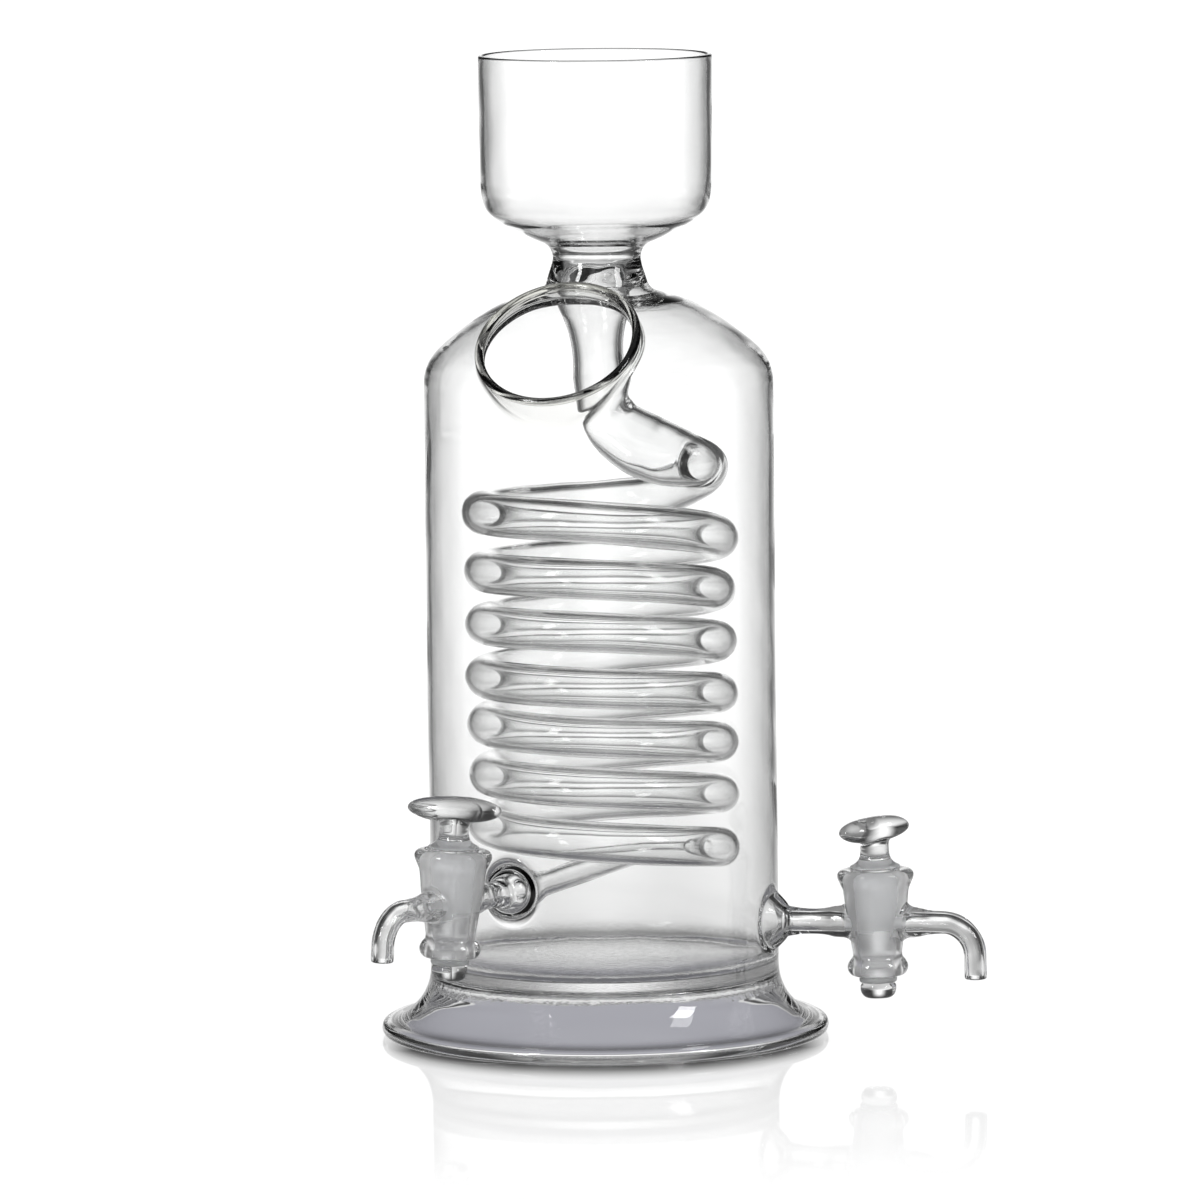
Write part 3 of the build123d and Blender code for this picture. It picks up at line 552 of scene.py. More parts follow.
# ===========================================================================
# Arms: bosses on the wall, their stems, and the bores behind them
# ===========================================================================
BOSS_END = -33.6
bore_r = 2.5
for side in ("outlet", "drain"):
    ax = tap_at[side]
    k = 1 if side == "outlet" else 2
    out_ax = Axes(ax.o, ax.y, ax.z, ax.x)

    def on_wall(x, y, out_ax=out_ax):
        return reach(outer_radius, out_ax, x, y, t_from=-20.0, t_to=-64.0)

    flare = [(13.9, 0.0), (13.1, 0.12), (12.2, 0.5), (11.3, 1.15), (10.3, 2.05), (9.2, 3.2), (8.1, 4.3), (7.1, 5.2),
             (6.4, 5.75), (5.9, 6.1)]
    grid, even, t = saddle(outer_loops[k], out_ax, on_wall, flare, rows=5)
    for m in range(1, 4):
        grid.append(ring(out_ax, 5.9 - 0.3 * m / 3, even, t + (BOSS_END - t) * m / 3))
    add_grid(side + "_boss_glass", "vessel", np.array(grid), flip=True)

    if side == "drain":
        def in_wall(x, y, out_ax=out_ax):
            return reach(inner_radius, out_ax, x, y, t_from=-64.0, t_to=-20.0)

        flare = [(9.4, 0.0), (8.9, 0.1), (8.3, 0.45), (7.6, 1.1), (6.7, 2.2), (5.6, 3.6), (4.5, 5.0), (3.5, 6.4),
                 (2.8, 7.6)]
        grid, even, t = saddle(inner_loops[k], out_ax, in_wall, flare, rows=5)
        for m in range(1, 4):
            grid.append(ring(out_ax, 2.8 - 0.3 * m / 3, even, t + (BOSS_END - t) * m / 3))
        add_grid(side + "_boss_glass", "vessel", np.array(grid))
    else:
        in_ax = Axes(ax.o, ax.z, ax.y, -ax.x)

        def from_wall(x, y, in_ax=in_ax):
            return reach(inner_radius, in_ax, x, y, t_from=64.0, t_to=20.0)

        flare = [(10.4, 0.0), (9.7, 0.1), (8.9, 0.45), (8.0, 1.1), (7.1, 2.1), (6.2, 3.4), (5.4, 4.8), (4.9, 6.0)]
        grid, even, t = saddle(inner_loops[k], in_ax, from_wall, flare, rows=5)
        for m in range(1, 4):
            grid.append(ring(in_ax, 4.9 - 0.3 * m / 3, even, t + (50.5 - t) * m / 3))
        add_grid("lead_out_glass", "vessel", np.array(grid), flip=True)
        bulge = spline([(2.9, -50.5), (3.1, -48.3), (4.0, -46.4), (5.3, -44.8), (6.3, -43.2), (6.6, -41.6),
                        (6.2, -39.9), (5.2, -38.3), (4.0, -36.8), (3.1, -35.3), (2.6, BOSS_END)], 0.6)
        cut = nearest(bulge, (5.3, -44.8))
        lathe(bulge, [("lead_out_glass", 0, cut), ("outlet_boss_glass", cut, len(bulge) - 1)], "vessel",
              axes=Axes(ax.o, ax.y, ax.z, ax.x), nv=64, start=0.0)

# ===========================================================================
# Drop tube's bend, lead-in, coil and lead-out: one run of tube
# ===========================================================================
turn_marks = [75, 180, 360, 540, 720, 900, 1080, 1260, 1440, 1620, 1800, 1980, 2160, 2340, 2520, 2550]
turn_heights = [200.4, 196.0, 185.8, 174.2, 166.2, 154.6, 146.9, 134.8, 127.6, 117.0, 109.2, 98.3, 89.7, 79.5, 69.6,
                67.9]
COIL_R = 43.2


def smooth_through(xs, ys, q):
    """Smooth height through the marks (cubic pieces, gentle slopes)."""
    xs, ys = np.array(xs, float), np.array(ys, float)
    h, d = np.diff(xs), np.diff(ys) / np.diff(xs)
    m = np.zeros(len(xs))
    for i in range(1, len(xs) - 1):
        if d[i - 1] * d[i] > 0:
            w1, w2 = 2 * h[i] + h[i - 1], h[i] + 2 * h[i - 1]
            m[i] = (w1 + w2) / (w1 / d[i - 1] + w2 / d[i])
    m[0], m[-1] = d[0], d[-1]
    k = np.clip(np.searchsorted(xs, q, side="right") - 1, 0, len(xs) - 2)
    t = (q - xs[k]) / h[k]
    return ((1 + 2 * t) * (1 - t) ** 2 * ys[k] + t * (1 - t) ** 2 * h[k] * m[k]
            + t * t * (3 - 2 * t) * ys[k + 1] + t * t * (t - 1) * h[k] * m[k + 1])


deg = np.linspace(75.0, 2550.0, 763)
# every turn leans back: its front stands higher than its sides, its back lower
lean_marks = [75, 270, 630, 990, 1350, 1710, 2070, 2430, 2550]
lean_heights = [4.75, 4.9, 4.8, 4.7, 3.5, 3.4, 3.7, 2.8, 2.8]
zc = smooth_through(turn_marks, turn_heights, deg) - np.interp(deg, lean_marks, lean_heights) * np.sin(np.radians(deg))
wob = 0.35 * np.sin(np.radians(deg) * 0.83 + 1.0) + 0.25 * np.sin(np.radians(deg) * 2.31 + 0.4)
coil = np.stack([(COIL_R + wob) * np.cos(np.radians(deg)), (COIL_R + wob) * np.sin(np.radians(deg)), zc], -1)
lead_turns = np.array([50.0, 60.0, 68.0, 72.5])
lead_heights = coil[0][2] + np.array([5.0, 2.1, 0.75, 0.2])
lead_r = COIL_R + 0.35 * np.sin(np.radians(lead_turns) * 0.83 + 1.0) + 0.25 * np.sin(np.radians(lead_turns) * 2.31 + 0.4)
lead_in = spline([(0.0, 0.0, 246.0), (0.1, 0.0, 241.0), (1.4, 0.0, 234.6), (5.0, 0.0, 228.6), (10.4, 0.0, 223.8),
                  (17.0, 0.0, 219.9), (24.0, 0.0, 217.2), (30.6, 0.0, 215.3), (35.6, 1.6, 213.9), (38.5, 5.8, 212.6),
                  (39.3, 12.0, 210.6), (37.6, 20.4, 207.3)]
                 + [(r * math.cos(math.radians(q)), r * math.sin(math.radians(q)), h)
                    for q, r, h in zip(lead_turns, lead_r, lead_heights)] + [tuple(coil[0])], 0.9)
end_dir = coil[-1] - coil[-2]
end_dir /= np.linalg.norm(end_dir)
ax = tap_at["outlet"]
axis_far = ax.out(-56.0, 0, 0)
axis_end = ax.out(-50.5, 0, 0)
lead_out = rounded([coil[-1], ((22.9, 46.4, 64.9), 12.0), (axis_far, 40.0), axis_end], 1.4, 5.0)
run = joined(lead_in, coil, lead_out)
dist = np.concatenate([[0], np.cumsum(np.linalg.norm(np.diff(run, axis=0), axis=1))])
k_coil = len(lead_in) - 1
k_out = k_coil + len(coil) - 1
s_in, s_out, s_all = dist[k_coil], dist[k_out], dist[-1]
outer_marks = [(0, 10.0), (5, 9.8), (11, 9.8), (18, 10.5), (25, 11.5), (33, 12.2), (41, 11.8), (48, 10.8), (54, 9.7),
               (60, 8.9), (68, 8.5), (s_in, 8.1), (s_in + 216, 7.9), (s_in + 350, 7.55), (s_out, 7.5),
               (s_out + 2.0, 7.2), (s_out + 5.0, 5.6), (s_out + 8.0, 4.7), (s_out + 12.0, 4.6), (s_all, 4.6)]
inner_marks = [(0, 8.1), (5, 8.0), (11, 8.0), (18, 8.7), (25, 9.7), (33, 10.4), (41, 10.0), (48, 9.0), (54, 7.6),
               (60, 6.4), (68, 6.0), (s_in, 5.9), (s_in + 216, 5.8), (s_in + 350, 5.7), (s_out, 5.7),
               (s_out + 2.0, 5.4), (s_out + 5.0, 3.9), (s_out + 8.0, 3.0), (s_out + 12.0, 2.9), (s_all, 2.9)]
ro = smooth_through([m[0] for m in outer_marks], [m[1] for m in outer_marks], dist)
ri = smooth_through([m[0] for m in inner_marks], [m[1] for m in inner_marks], dist)
# seal marks where two tubes were joined: the wall is a little thicker there
for at, depth, width in ((36.0, 0.14, 3.0), (48.0, 0.14, 3.0), (s_out + 1.0, 0.22, 1.8)):
    ri = ri - depth * np.exp(-((dist - at) / width) ** 2)
# the coil's bore and outside vary a little, as drawn tube that was bent by hand does
ro = ro + 0.10 * np.sin(dist / 23.0 + 0.3) * np.clip((dist - s_in) / 40, 0, 1) * np.clip((s_out - dist) / 40, 0, 1)
ri = ri + 0.14 * np.sin(dist / 17.0 + 1.1) * np.clip((dist - s_in) / 40, 0, 1) * np.clip((s_out - dist) / 40, 0, 1)
NV_TUBE = 72
outer = tube_grid(run, ro, NV_TUBE, (1, 0, 0))
# the wall is thicker on the inside of the first bend
bore_run = run + (np.exp(-((dist - 15.0) / 6.0) ** 2) * 0.9)[:, None] * np.array([-0.72, 0.0, -0.69])
bore_run[0] = run[0]
inner = tube_grid(bore_run, ri, NV_TUBE, (1, 0, 0))
for name, a, b in (("lead_in_glass", 0, k_coil), ("coil_glass", k_coil, k_out), ("lead_out_glass", k_out, len(run) - 1)):
    add_grid(name, "tube_outside", outer[a:b + 1], flip=True)
    add_grid(name, "tube_bore", inner[a:b + 1])
# the drop tube's bore, down to the bend
bore = spline([(8.1, 246.0), (7.7, 250.0), (7.6, 256.0), (8.2, 261.5), (9.3, 266.0), (10.9, 270.0), (12.0, 273.2),
               (12.3, 276.0)], 0.8)
lathe(bore, [("drop_tube_glass", 0, len(bore) - 1)], "vessel")


# ===========================================================================
# The two taps
# ===========================================================================
def taper_r(z):
    return 7.37 + 0.05 * z


CLEAR, GROUND, FINE = 0, 1, 2
for side in ("outlet", "drain"):
    ax = tap_at[side]
    yaw = math.radians(-4.0 if side == "outlet" else 0.0)
    reach_mm, drop_mm = (41.0, 16.8) if side == "outlet" else (37.4, 20.3)
    barrel_name, skin = side + "_barrel_glass", side + "_body"
    outer_b = joined(
        spline([(taper_r(19.0) + 0.2, 19.0), (9.2, 19.6), (11.0, 19.9), (13.0, 19.5), (14.1, 18.2), (14.1, 16.8),
                (13.3, 14.8), (12.3, 12.4), (11.9, 9.6)], 0.5),
        spline([(11.9, 9.6), (11.4, 4.5), (10.8, 0.3), (10.2, -4.0), (9.6, -8.0), (9.15, -11.2), (9.3, -12.9),
                (10.4, -14.4), (11.2, -16.2), (10.9, -18.2), (9.8, -19.5), (8.0, -19.9), (taper_r(-19.3) + 0.15, -19.3)],
               0.6))
    rows = [k for k in range(len(outer_b)) if -9.4 <= outer_b[k, 1] <= 9.4]
    r0, r1 = rows[0], rows[-1]
    spout_a = TAU + yaw
    _, loops = lathe(outer_b, [(barrel_name, 0, len(outer_b) - 1)], skin, axes=ax, nv=128, start=math.pi / 2,
                     holes=[(r0, r1, math.pi - 0.93, math.pi + 0.93), (r0, r1, spout_a - 0.93, spout_a + 0.93)])
    b_low = min(outer_b[:, 1])
    radius_b = table(outer_b[r0 - 6:r1 + 7], -30.0, 30.0)
    # ground seat of the barrel
    seat = np.array([(taper_r(z) + (0.2 if abs(z) > 19.1 else 0.0), z) for z in np.arange(-19.2, 19.21, 0.8)])
    seat[0] = (taper_r(-19.3) + 0.15, -19.3)
    seat[-1] = (taper_r(19.0) + 0.2, 19.0)
    srows = [k for k in range(len(seat)) if -4.9 <= seat[k, 1] <= 4.9]
    clear_below = int(np.argmin(np.abs(seat[:, 1] + 2.0)))
    _, seat_loops = lathe(seat, [(barrel_name, 0, clear_below, FINE), (barrel_name, clear_below, len(seat) - 1)],
                          side + "_seat", axes=ax, nv=96, start=math.pi / 2,
                          holes=[(srows[0], srows[-1], math.pi - 0.62, math.pi + 0.62),
                                 (srows[0], srows[-1], spout_a - 0.62, spout_a + 0.62)], slot=GROUND)
    # stem, from the barrel to the boss
    back_ax = Axes(ax.o, ax.z, ax.y, -ax.x)

    def barrel_back(x, y, back_ax=back_ax, radius_b=radius_b, ax=ax):
        return reach(radius_b, back_ax, x, y, base=ax, t_from=24.0, t_to=0.5)

    flare = [(7.7, 0.0), (7.3, 0.1), (6.9, 0.4), (6.5, 0.9), (6.2, 1.6), (5.95, 2.5)]
    grid, even, t = saddle(loops[0], back_ax, barrel_back, flare, rows=4)
    stem_r = [(16.0, 5.75), (18.0, 5.3), (20.5, 4.9), (24.0, 4.7), (28.0, 4.85), (31.0, 5.2), (33.6, 5.6)]
    for m in range(1, 3):
        grid.append(ring(back_ax, 5.95 + (5.75 - 5.95) * m / 2, even, t + (16.0 - t) * m / 2))
    for tt, rr in spline(stem_r, 1.0)[1:]:
        grid.append(ring(back_ax, rr, even, tt))
    add_grid(barrel_name, skin, np.array(grid[:8]), flip=True)
    add_grid(side + "_stem_glass", skin, np.array(grid[7:]), flip=True)

    def seat_back(x, y, back_ax=back_ax, ax=ax):
        return reach(taper_r, back_ax, x, y, base=ax, t_from=0.5, t_to=24.0)

    grid, even, t = saddle(seat_loops[0], back_ax, seat_back, [(3.1, 0.0), (2.8, 0.1), (2.6, 0.3), (2.5, 0.6)], rows=3)
    for tt in np.linspace(11.0, 33.6, 14):
        grid.append(ring(back_ax, bore_r if tt < 33 else 2.55, even, tt))
    add_grid(barrel_name, side + "_seat_back", np.array(grid[:8]), slot=GROUND)
    add_grid(side + "_stem_glass", side + "_stem_bore", np.array(grid[7:]))

    # spout, from the barrel outwards and down, over its lip and back up its bore
    cy, sy = math.cos(yaw), math.sin(yaw)
    dx, dy = ax.x * cy + ax.y * sy, ax.y * cy - ax.x * sy
    spout_ax = Axes(ax.o, dy, ax.z, dx)

    def barrel_front(x, y, spout_ax=spout_ax, radius_b=radius_b, ax=ax):
        return reach(radius_b, spout_ax, x, y, base=ax, t_from=24.0, t_to=0.5)

    flare = [(7.7, 0.0), (7.3, 0.1), (6.9, 0.4), (6.5, 0.9), (6.1, 1.6), (5.75, 2.5)]
    grid, even, t = saddle(loops[1], spout_ax, barrel_front, flare, rows=4)
    for m in range(1, 3):
        grid.append(ring(spout_ax, 5.75 - 0.2 * m / 2, even, t + (15.0 - t) * m / 2))
    tip = ax.o + dx * reach_mm - ax.z * drop_mm
    path = rounded([ax.o + dx * 15.0, (ax.o + dx * reach_mm, 12.0), tip], 0.9, 4.0)
    length = np.concatenate([[0], np.cumsum(np.linalg.norm(np.diff(path, axis=0), axis=1))])
    rs = np.interp(length, [0, 1.5, 4, 7, 12, length[-1]], [5.55, 5.3, 4.75, 4.35, 4.15, 4.15])
    rs = rs - 0.12 * np.exp(-((length[-1] - length) / 1.2) ** 2)
    nv = len(even)
    tube = tube_grid(path, rs, nv, spout_ax.x, start=even[0])
    grid += list(tube[1:])
    end_t = path[-1] - path[-2]
    end_t /= np.linalg.norm(end_t)
    mid_r, lip_r = 0.5 * (rs[-1] + bore_r), 0.5 * (rs[-1] - bore_r)
    tang, sd, up = carried(path, spout_ax.x)
    for w in np.linspace(0, math.pi, 8)[1:]:
        r = mid_r + lip_r * math.cos(w)
        c = path[-1] + end_t * (lip_r * 0.8 * math.sin(w))
        grid.append(c + r * (np.cos(even)[:, None] * sd[-1] + np.sin(even)[:, None] * up[-1]))
    inner_path = joined(rounded([path[0] - dx * 4.5, path[0]], 0.9), path)
    back_grid = tube_grid(inner_path, bore_r, nv, spout_ax.x, start=even[0])[::-1]
    grid += list(back_grid[1:])
    add_grid(barrel_name, skin, np.array(grid[:8]), flip=True)
    add_grid(side + "_spout_glass", skin, np.array(grid[7:]), flip=True)

    def seat_front(x, y, spout_ax=spout_ax, ax=ax):
        return reach(taper_r, spout_ax, x, y, base=ax, t_from=0.5, t_to=24.0)

    grid, even, t = saddle(seat_loops[1], spout_ax, seat_front, [(3.1, 0.0), (2.8, 0.1), (2.6, 0.3), (2.5, 0.6)],
                           rows=3)
    grid.append(ring(spout_ax, bore_r, even, 10.5))
    add_grid(barrel_name, side + "_seat_front", np.array(grid), slot=GROUND)

    # plug: ground taper with its cross bore, shoulder, neck; grooved tail
    turn = handle_turn[side]
    c = 0.06
    plug_name, pskin = side + "_plug_glass", side + "_plug_skin"
    hx = ax.x * math.cos(turn) + ax.y * math.sin(turn)
    hy = ax.y * math.cos(turn) - ax.x * math.sin(turn)
    pax = Axes(ax.o, hx, hy, ax.z)
    top = joined(
        spline([(5.35, 27.4), (5.4, 25.6), (6.0, 23.6), (7.4, 22.1), (8.9, 21.3), (9.3, 20.8), (9.0, 20.2),
                (taper_r(19.4) - c, 19.4)], 0.5))
    mid = np.array([(taper_r(z) - c, z) for z in np.arange(19.4, -20.01, -0.788)])
    mid[-1] = (taper_r(-20.0) - c, -20.0)
    low = spline([(taper_r(-20.0) - c, -20.0), (5.9, -20.25), (5.3, -20.5), (5.2, -21.4), (5.3, -22.4), (5.9, -22.8),
                  (6.5, -23.5), (6.65, -24.9), (6.2, -26.6), (5.0, -27.9), (3.2, -28.35), (1.6, -28.4), (0.0, -28.4)], 0.5)
    lathe(top, [(plug_name, 0, len(top) - 1)], pskin, axes=pax, nv=96, start=math.pi / 2)
    prow = [k for k in range(len(mid)) if -4.2 <= mid[k, 1] <= 4.2]
    clear_below = int(np.argmin(np.abs(mid[:, 1] + 2.0)))
    _, ploops = lathe(mid, [(plug_name, 0, clear_below), (plug_name, clear_below, len(mid) - 1, FINE)], pskin, axes=pax, nv=96, start=math.pi / 2,
                      holes=[(prow[0], prow[-1], math.pi - 0.53, math.pi + 0.53),
                             (prow[0], prow[-1], TAU - 0.53, TAU + 0.53)], slot=GROUND)
    lathe(low, [(plug_name, 0, len(low) - 1)], pskin, axes=pax, nv=96, start=math.pi / 2)
    for k, sgn in ((0, -1.0), (1, 1.0)):
        bax = Axes(ax.o, hy * sgn, ax.z, hx * sgn)

        def on_plug(x, y, bax=bax, pax=pax):
            return reach(lambda z: taper_r(z) - c, bax, x, y, base=pax, t_from=16.0, t_to=0.5)

        grid, even, t = saddle(ploops[k], bax, on_plug, [(2.6, 0.0), (2.3, -0.1), (2.1, -0.3), (2.0, -0.6)], rows=3)
        for tt in (4.5, 3.0, 1.5, 0.0):
            grid.append(ring(bax, 2.0, even, tt))
        add_grid(plug_name, pskin, np.array(grid[:5]), flip=True, slot=GROUND)
        add_grid(plug_name, side + "_plug_bore", np.array(grid[4:]), flip=True)

    # handle: flattened oval with a waisted foot
    hname, hskin = side + "_handle_glass", side + "_handle_skin"
    A, B, C, HZ = 17.4, 6.8, 4.8, 34.6
    ends = np.concatenate([[-1.0, -0.996, -0.985, -0.965, -0.935, -0.89], np.linspace(-0.83, 0.83, 30),
                           [0.89, 0.935, 0.965, 0.985, 0.996, 1.0]])
    nps = 72

    def shape(u):
        """Half width and half height of the oval at a share of its half length."""
        w = np.sqrt(np.maximum(0, 1 - np.abs(u) ** 2.15))
        return B * w ** 0.92, C * w ** 0.96

    wid, hei = shape(ends)
    psi = math.pi / 2 + TAU * np.arange(nps) / nps
    rows3 = []
    for u, w, h in zip(ends, wid, hei):
        rows3.append(pax.out(u * A + 0 * psi, w * np.cos(psi), HZ + h * np.sin(psi)))
    rows3 = np.array(rows3)
    ir = [k for k, u in enumerate(ends) if abs(u * A) <= 7.4]
    i0, i1 = ir[0], ir[-1]
    # columns of the underside, psi about 270 degrees
    j0 = int(round((math.radians(270 - 68) - math.pi / 2) / TAU * nps))
    j1 = int(round((math.radians(270 + 68) - math.pi / 2) / TAU * nps))
    add_grid(hname, hskin, rows3, flip=True, skip=[(i0, i1, j0, j1)])
    edge = [(i0, j) for j in range(j0, j1)] + [(i, j1) for i in range(i0, i1)]
    edge += [(i1, j) for j in range(j1, j0, -1)] + [(i, j0) for i in range(i1, i0, -1)]
    hloop = np.array([rows3[i, j] for i, j in edge])
    down = Axes(ax.o, pax.x, -pax.y, -pax.z)

    def underside(x, y, shape=shape):
        w, h = shape(np.clip(x / A, -0.999, 0.999))
        q = np.clip(np.abs(y) / w, 0, 0.9999)
        return -HZ + h * np.sqrt(1 - q * q)

    flare = [(6.0, 0.0), (5.8, 0.25), (5.55, 0.7), (5.35, 1.3), (5.25, 2.0)]
    grid, even, t = saddle(hloop, down, underside, flare, rows=3)
    for m in range(1, 5):
        grid.append(ring(down, 5.25 + 0.1 * m / 4, even, t + (-27.4 - t) * m / 4))
    add_grid(hname, hskin, np.array(grid), flip=True)

    # retaining ring in the tail's groove
    loop_r = [(6.15 + 0.85 * math.cos(w), -21.4 + 1.05 * math.sin(w)) for w in -np.linspace(0, TAU, 21)]
    lathe(np.array(loop_r), [(side + "_silicone_ring", 0, 20)], side + "_ring", axes=pax, nv=96, start=0.0)


# ===========================================================================
# Unevenness of hand work: slight waves, different on each side of the wall
# ===========================================================================
def lean(pos):
    """Sideways wander of the hand-made body, growing with height, and of the drop tube that hangs in it."""
    r, z = np.hypot(pos[:, 0], pos[:, 1]), pos[:, 2]
    whole = np.interp(z, [85, 130, 240, 280], [0.0, -0.3, -0.35, -0.65])
    tube = np.interp(z, [222, 240, 260, 275, 281, 289], [0.0, 0.9, -0.4, -1.2, -0.8, 0.0])
    tube = tube * np.where(z < 243, np.clip((28.0 - r) / 12.0, 0, 1), np.clip((19.0 - r) / 5.0, 0, 1))
    out = np.zeros_like(pos)
    out[:, 0] = whole + tube
    return out


def uneven(skin, pos, n):
    if skin == "port_bead":
        return lean(pos)
    if skin == "vessel":
        r = np.hypot(pos[:, 0], pos[:, 1])
        in_jacket = (r < 63.5) & (pos[:, 2] < 276.0)
        far = np.ones(len(pos))
        for side in ("outlet", "drain"):
            ax = tap_at[side]
            d = pos - ax.out(-REACH + R_OUT, 0, 0)
            far *= np.clip((np.linalg.norm(d, axis=1) - 12.0) / 12.0, 0, 1)
        d = np.linalg.norm(pos - port.o, axis=1)
        far *= np.clip(pos[:, 2] / 12.0 - 0.3, 0, 1)
        a = 0.05 * waves(pos, 3, 60.0) + 0.02 * waves(pos, 5, 22.0)
        b = 0.06 * waves(pos, 11, 55.0) + 0.02 * waves(pos, 13, 20.0)
        w = np.where(in_jacket, b, a) * far
        near_port = np.clip((np.abs(d - 29.5) - 3.0) / 10.0, 0.2, 1)
        knots = 0.07 * waves(pos, 41, 9.5) * np.clip((22.0 - r) / 3.0, 0, 1) * np.clip(
            (pos[:, 2] - 273.0) / 4.0, 0, 1) * np.clip((291.0 - pos[:, 2]) / 5.0, 0, 1)
        return n * (w * near_port + knots)[:, None] + lean(pos)
    if skin in ("tube_outside", "tube_bore"):
        amp = 0.045 if skin == "tube_outside" else 0.06
        end = np.clip((np.linalg.norm(pos - tap_at["outlet"].out(-50.5, 0, 0), axis=1) - 6.0) / 10.0, 0, 1)
        end *= np.clip((248.0 - pos[:, 2] - 8.0) / 10.0, 0, 1)
        return n * (amp * waves(pos, 17 if skin == "tube_outside" else 19, 26.0) * end)[:, None] + lean(pos)
    if skin.endswith("_handle_skin"):
        ax = tap_at[skin.split("_")[0]]
        h = (pos - ax.o) @ ax.z
        return n * (0.12 * waves(pos, 23, 11.0) * np.clip((h - 28.0) / 4.0, 0, 1))[:, None]
    if skin.endswith("_body"):
        ax = tap_at[skin.split("_")[0]]
        x = (pos - ax.o) @ ax.x
        far = np.clip((np.abs(x) - 12.0) / 6.0, 0, 1) * np.clip((x + 33.0) / 4.0, 0, 1)
        return n * (0.06 * waves(pos, 29, 9.0) * far)[:, None]
    return None


# ===========================================================================
# Materials
# ===========================================================================
def new_material(name):
    m = bpy.data.materials.new(name)
    m.use_nodes = True
    m.node_tree.nodes.clear()
    return m, m.node_tree


def glass_material(name, tint=(0.993, 0.995, 0.994), ior=1.47, roughness=0.0, bump=0.0, scale=(60, 60, 8), distance=0.0002,
                   detail=2.0, rough_amount=0.0, rough_scale=400.0, through=1.0):
    """Clear glass with faint drawn striae; bump lies along the piece's own coordinates."""
    m, nt = new_material(name)
    out = nt.nodes.new("ShaderNodeOutputMaterial")
    bsdf = nt.nodes.new("ShaderNodeBsdfPrincipled")
    bsdf.inputs["Base Color"].default_value = (*tint, 1.0)
    bsdf.inputs["Transmission Weight"].default_value = through
    bsdf.inputs["IOR"].default_value = ior
    bsdf.inputs["Roughness"].default_value = roughness
    nt.links.new(bsdf.outputs[0], out.inputs[0])
    coord = nt.nodes.new("ShaderNodeTexCoord")
    if bump > 0:
        mapping = nt.nodes.new("ShaderNodeMapping")
        mapping.inputs["Scale"].default_value = scale
        nt.links.new(coord.outputs["Object"], mapping.inputs[0])
        noise = nt.nodes.new("ShaderNodeTexNoise")
        noise.inputs["Scale"].default_value = 1.0
        noise.inputs["Detail"].default_value = detail
        nt.links.new(mapping.outputs[0], noise.inputs["Vector"])
        b = nt.nodes.new("ShaderNodeBump")
        b.inputs["Strength"].default_value = bump
        b.inputs["Distance"].default_value = distance
        nt.links.new(noise.outputs["Fac"], b.inputs["Height"])
        nt.links.new(b.outputs[0], bsdf.inputs["Normal"])
    if rough_amount > 0:
        grain = nt.nodes.new("ShaderNodeTexNoise")
        grain.inputs["Scale"].default_value = rough_scale
        grain.inputs["Detail"].default_value = 3.0
        nt.links.new(coord.outputs["Object"], grain.inputs["Vector"])
        span = nt.nodes.new("ShaderNodeMapRange")
        span.inputs["To Min"].default_value = max(0.0, roughness - rough_amount)
        span.inputs["To Max"].default_value = roughness + rough_amount
        nt.links.new(grain.outputs["Fac"], span.inputs["Value"])
        nt.links.new(span.outputs[0], bsdf.inputs["Roughness"])
    return m


mat_wall = glass_material("clear_glass_drawn", bump=0.10, scale=(90, 90, 5), distance=0.0003)
mat_blown = glass_material("clear_glass_blown", bump=0.10, scale=(40, 40, 40), distance=0.0003)
mat_tube = glass_material("clear_glass_tube", bump=0.04, scale=(60, 60, 90), distance=0.0002)
mat_floor = glass_material("clear_glass_floor", bump=0.5, scale=(420, 420, 420), distance=0.0004, detail=4.0)
mat_foot = glass_material("clear_glass_foot", bump=0.12, scale=(60, 60, 60), distance=0.0003)
mat_rim = glass_material("port_rim_glass", tint=(0.70, 0.70, 0.65), roughness=0.10, bump=0.10, scale=(60, 60, 60),
                         distance=0.0003)
mat_tap = glass_material("clear_glass_tap", bump=0.15, scale=(160, 160, 160), distance=0.0003)
mat_collar = glass_material("port_collar_glass", tint=(0.97, 0.97, 0.955), roughness=0.03, bump=0.10, scale=(50, 50, 50),
                            distance=0.0003)
mat_ground = glass_material("ground_glass", tint=(0.95, 0.955, 0.965), roughness=0.38, bump=0.25, scale=(900, 900, 900),
                            distance=0.0001, rough_amount=0.06, through=0.62)
mat_fine = glass_material("fine_ground_glass", tint=(0.97, 0.972, 0.978), roughness=0.16, bump=0.20, scale=(900, 900, 900),
                          distance=0.0001, rough_amount=0.04, through=0.80)
mat_handle = glass_material("clear_glass_handle", bump=0.15, scale=(140, 140, 140), distance=0.0003)

mat_ring, nt = new_material("silicone_ring")
out = nt.nodes.new("ShaderNodeOutputMaterial")
bsdf = nt.nodes.new("ShaderNodeBsdfPrincipled")
coord = nt.nodes.new("ShaderNodeTexCoord")
noise = nt.nodes.new("ShaderNodeTexNoise")
noise.inputs["Scale"].default_value = 260.0
ramp = nt.nodes.new("ShaderNodeMapRange")
ramp.inputs["To Min"].default_value = 0.35
ramp.inputs["To Max"].default_value = 0.5
bsdf.inputs["Base Color"].default_value = (0.86, 0.87, 0.87, 1.0)
bsdf.inputs["Transmission Weight"].default_value = 0.85
bsdf.inputs["IOR"].default_value = 1.41
nt.links.new(coord.outputs["Object"], noise.inputs["Vector"])
nt.links.new(noise.outputs["Fac"], ramp.inputs["Value"])
nt.links.new(ramp.outputs[0], bsdf.inputs["Roughness"])
nt.links.new(bsdf.outputs[0], out.inputs[0])

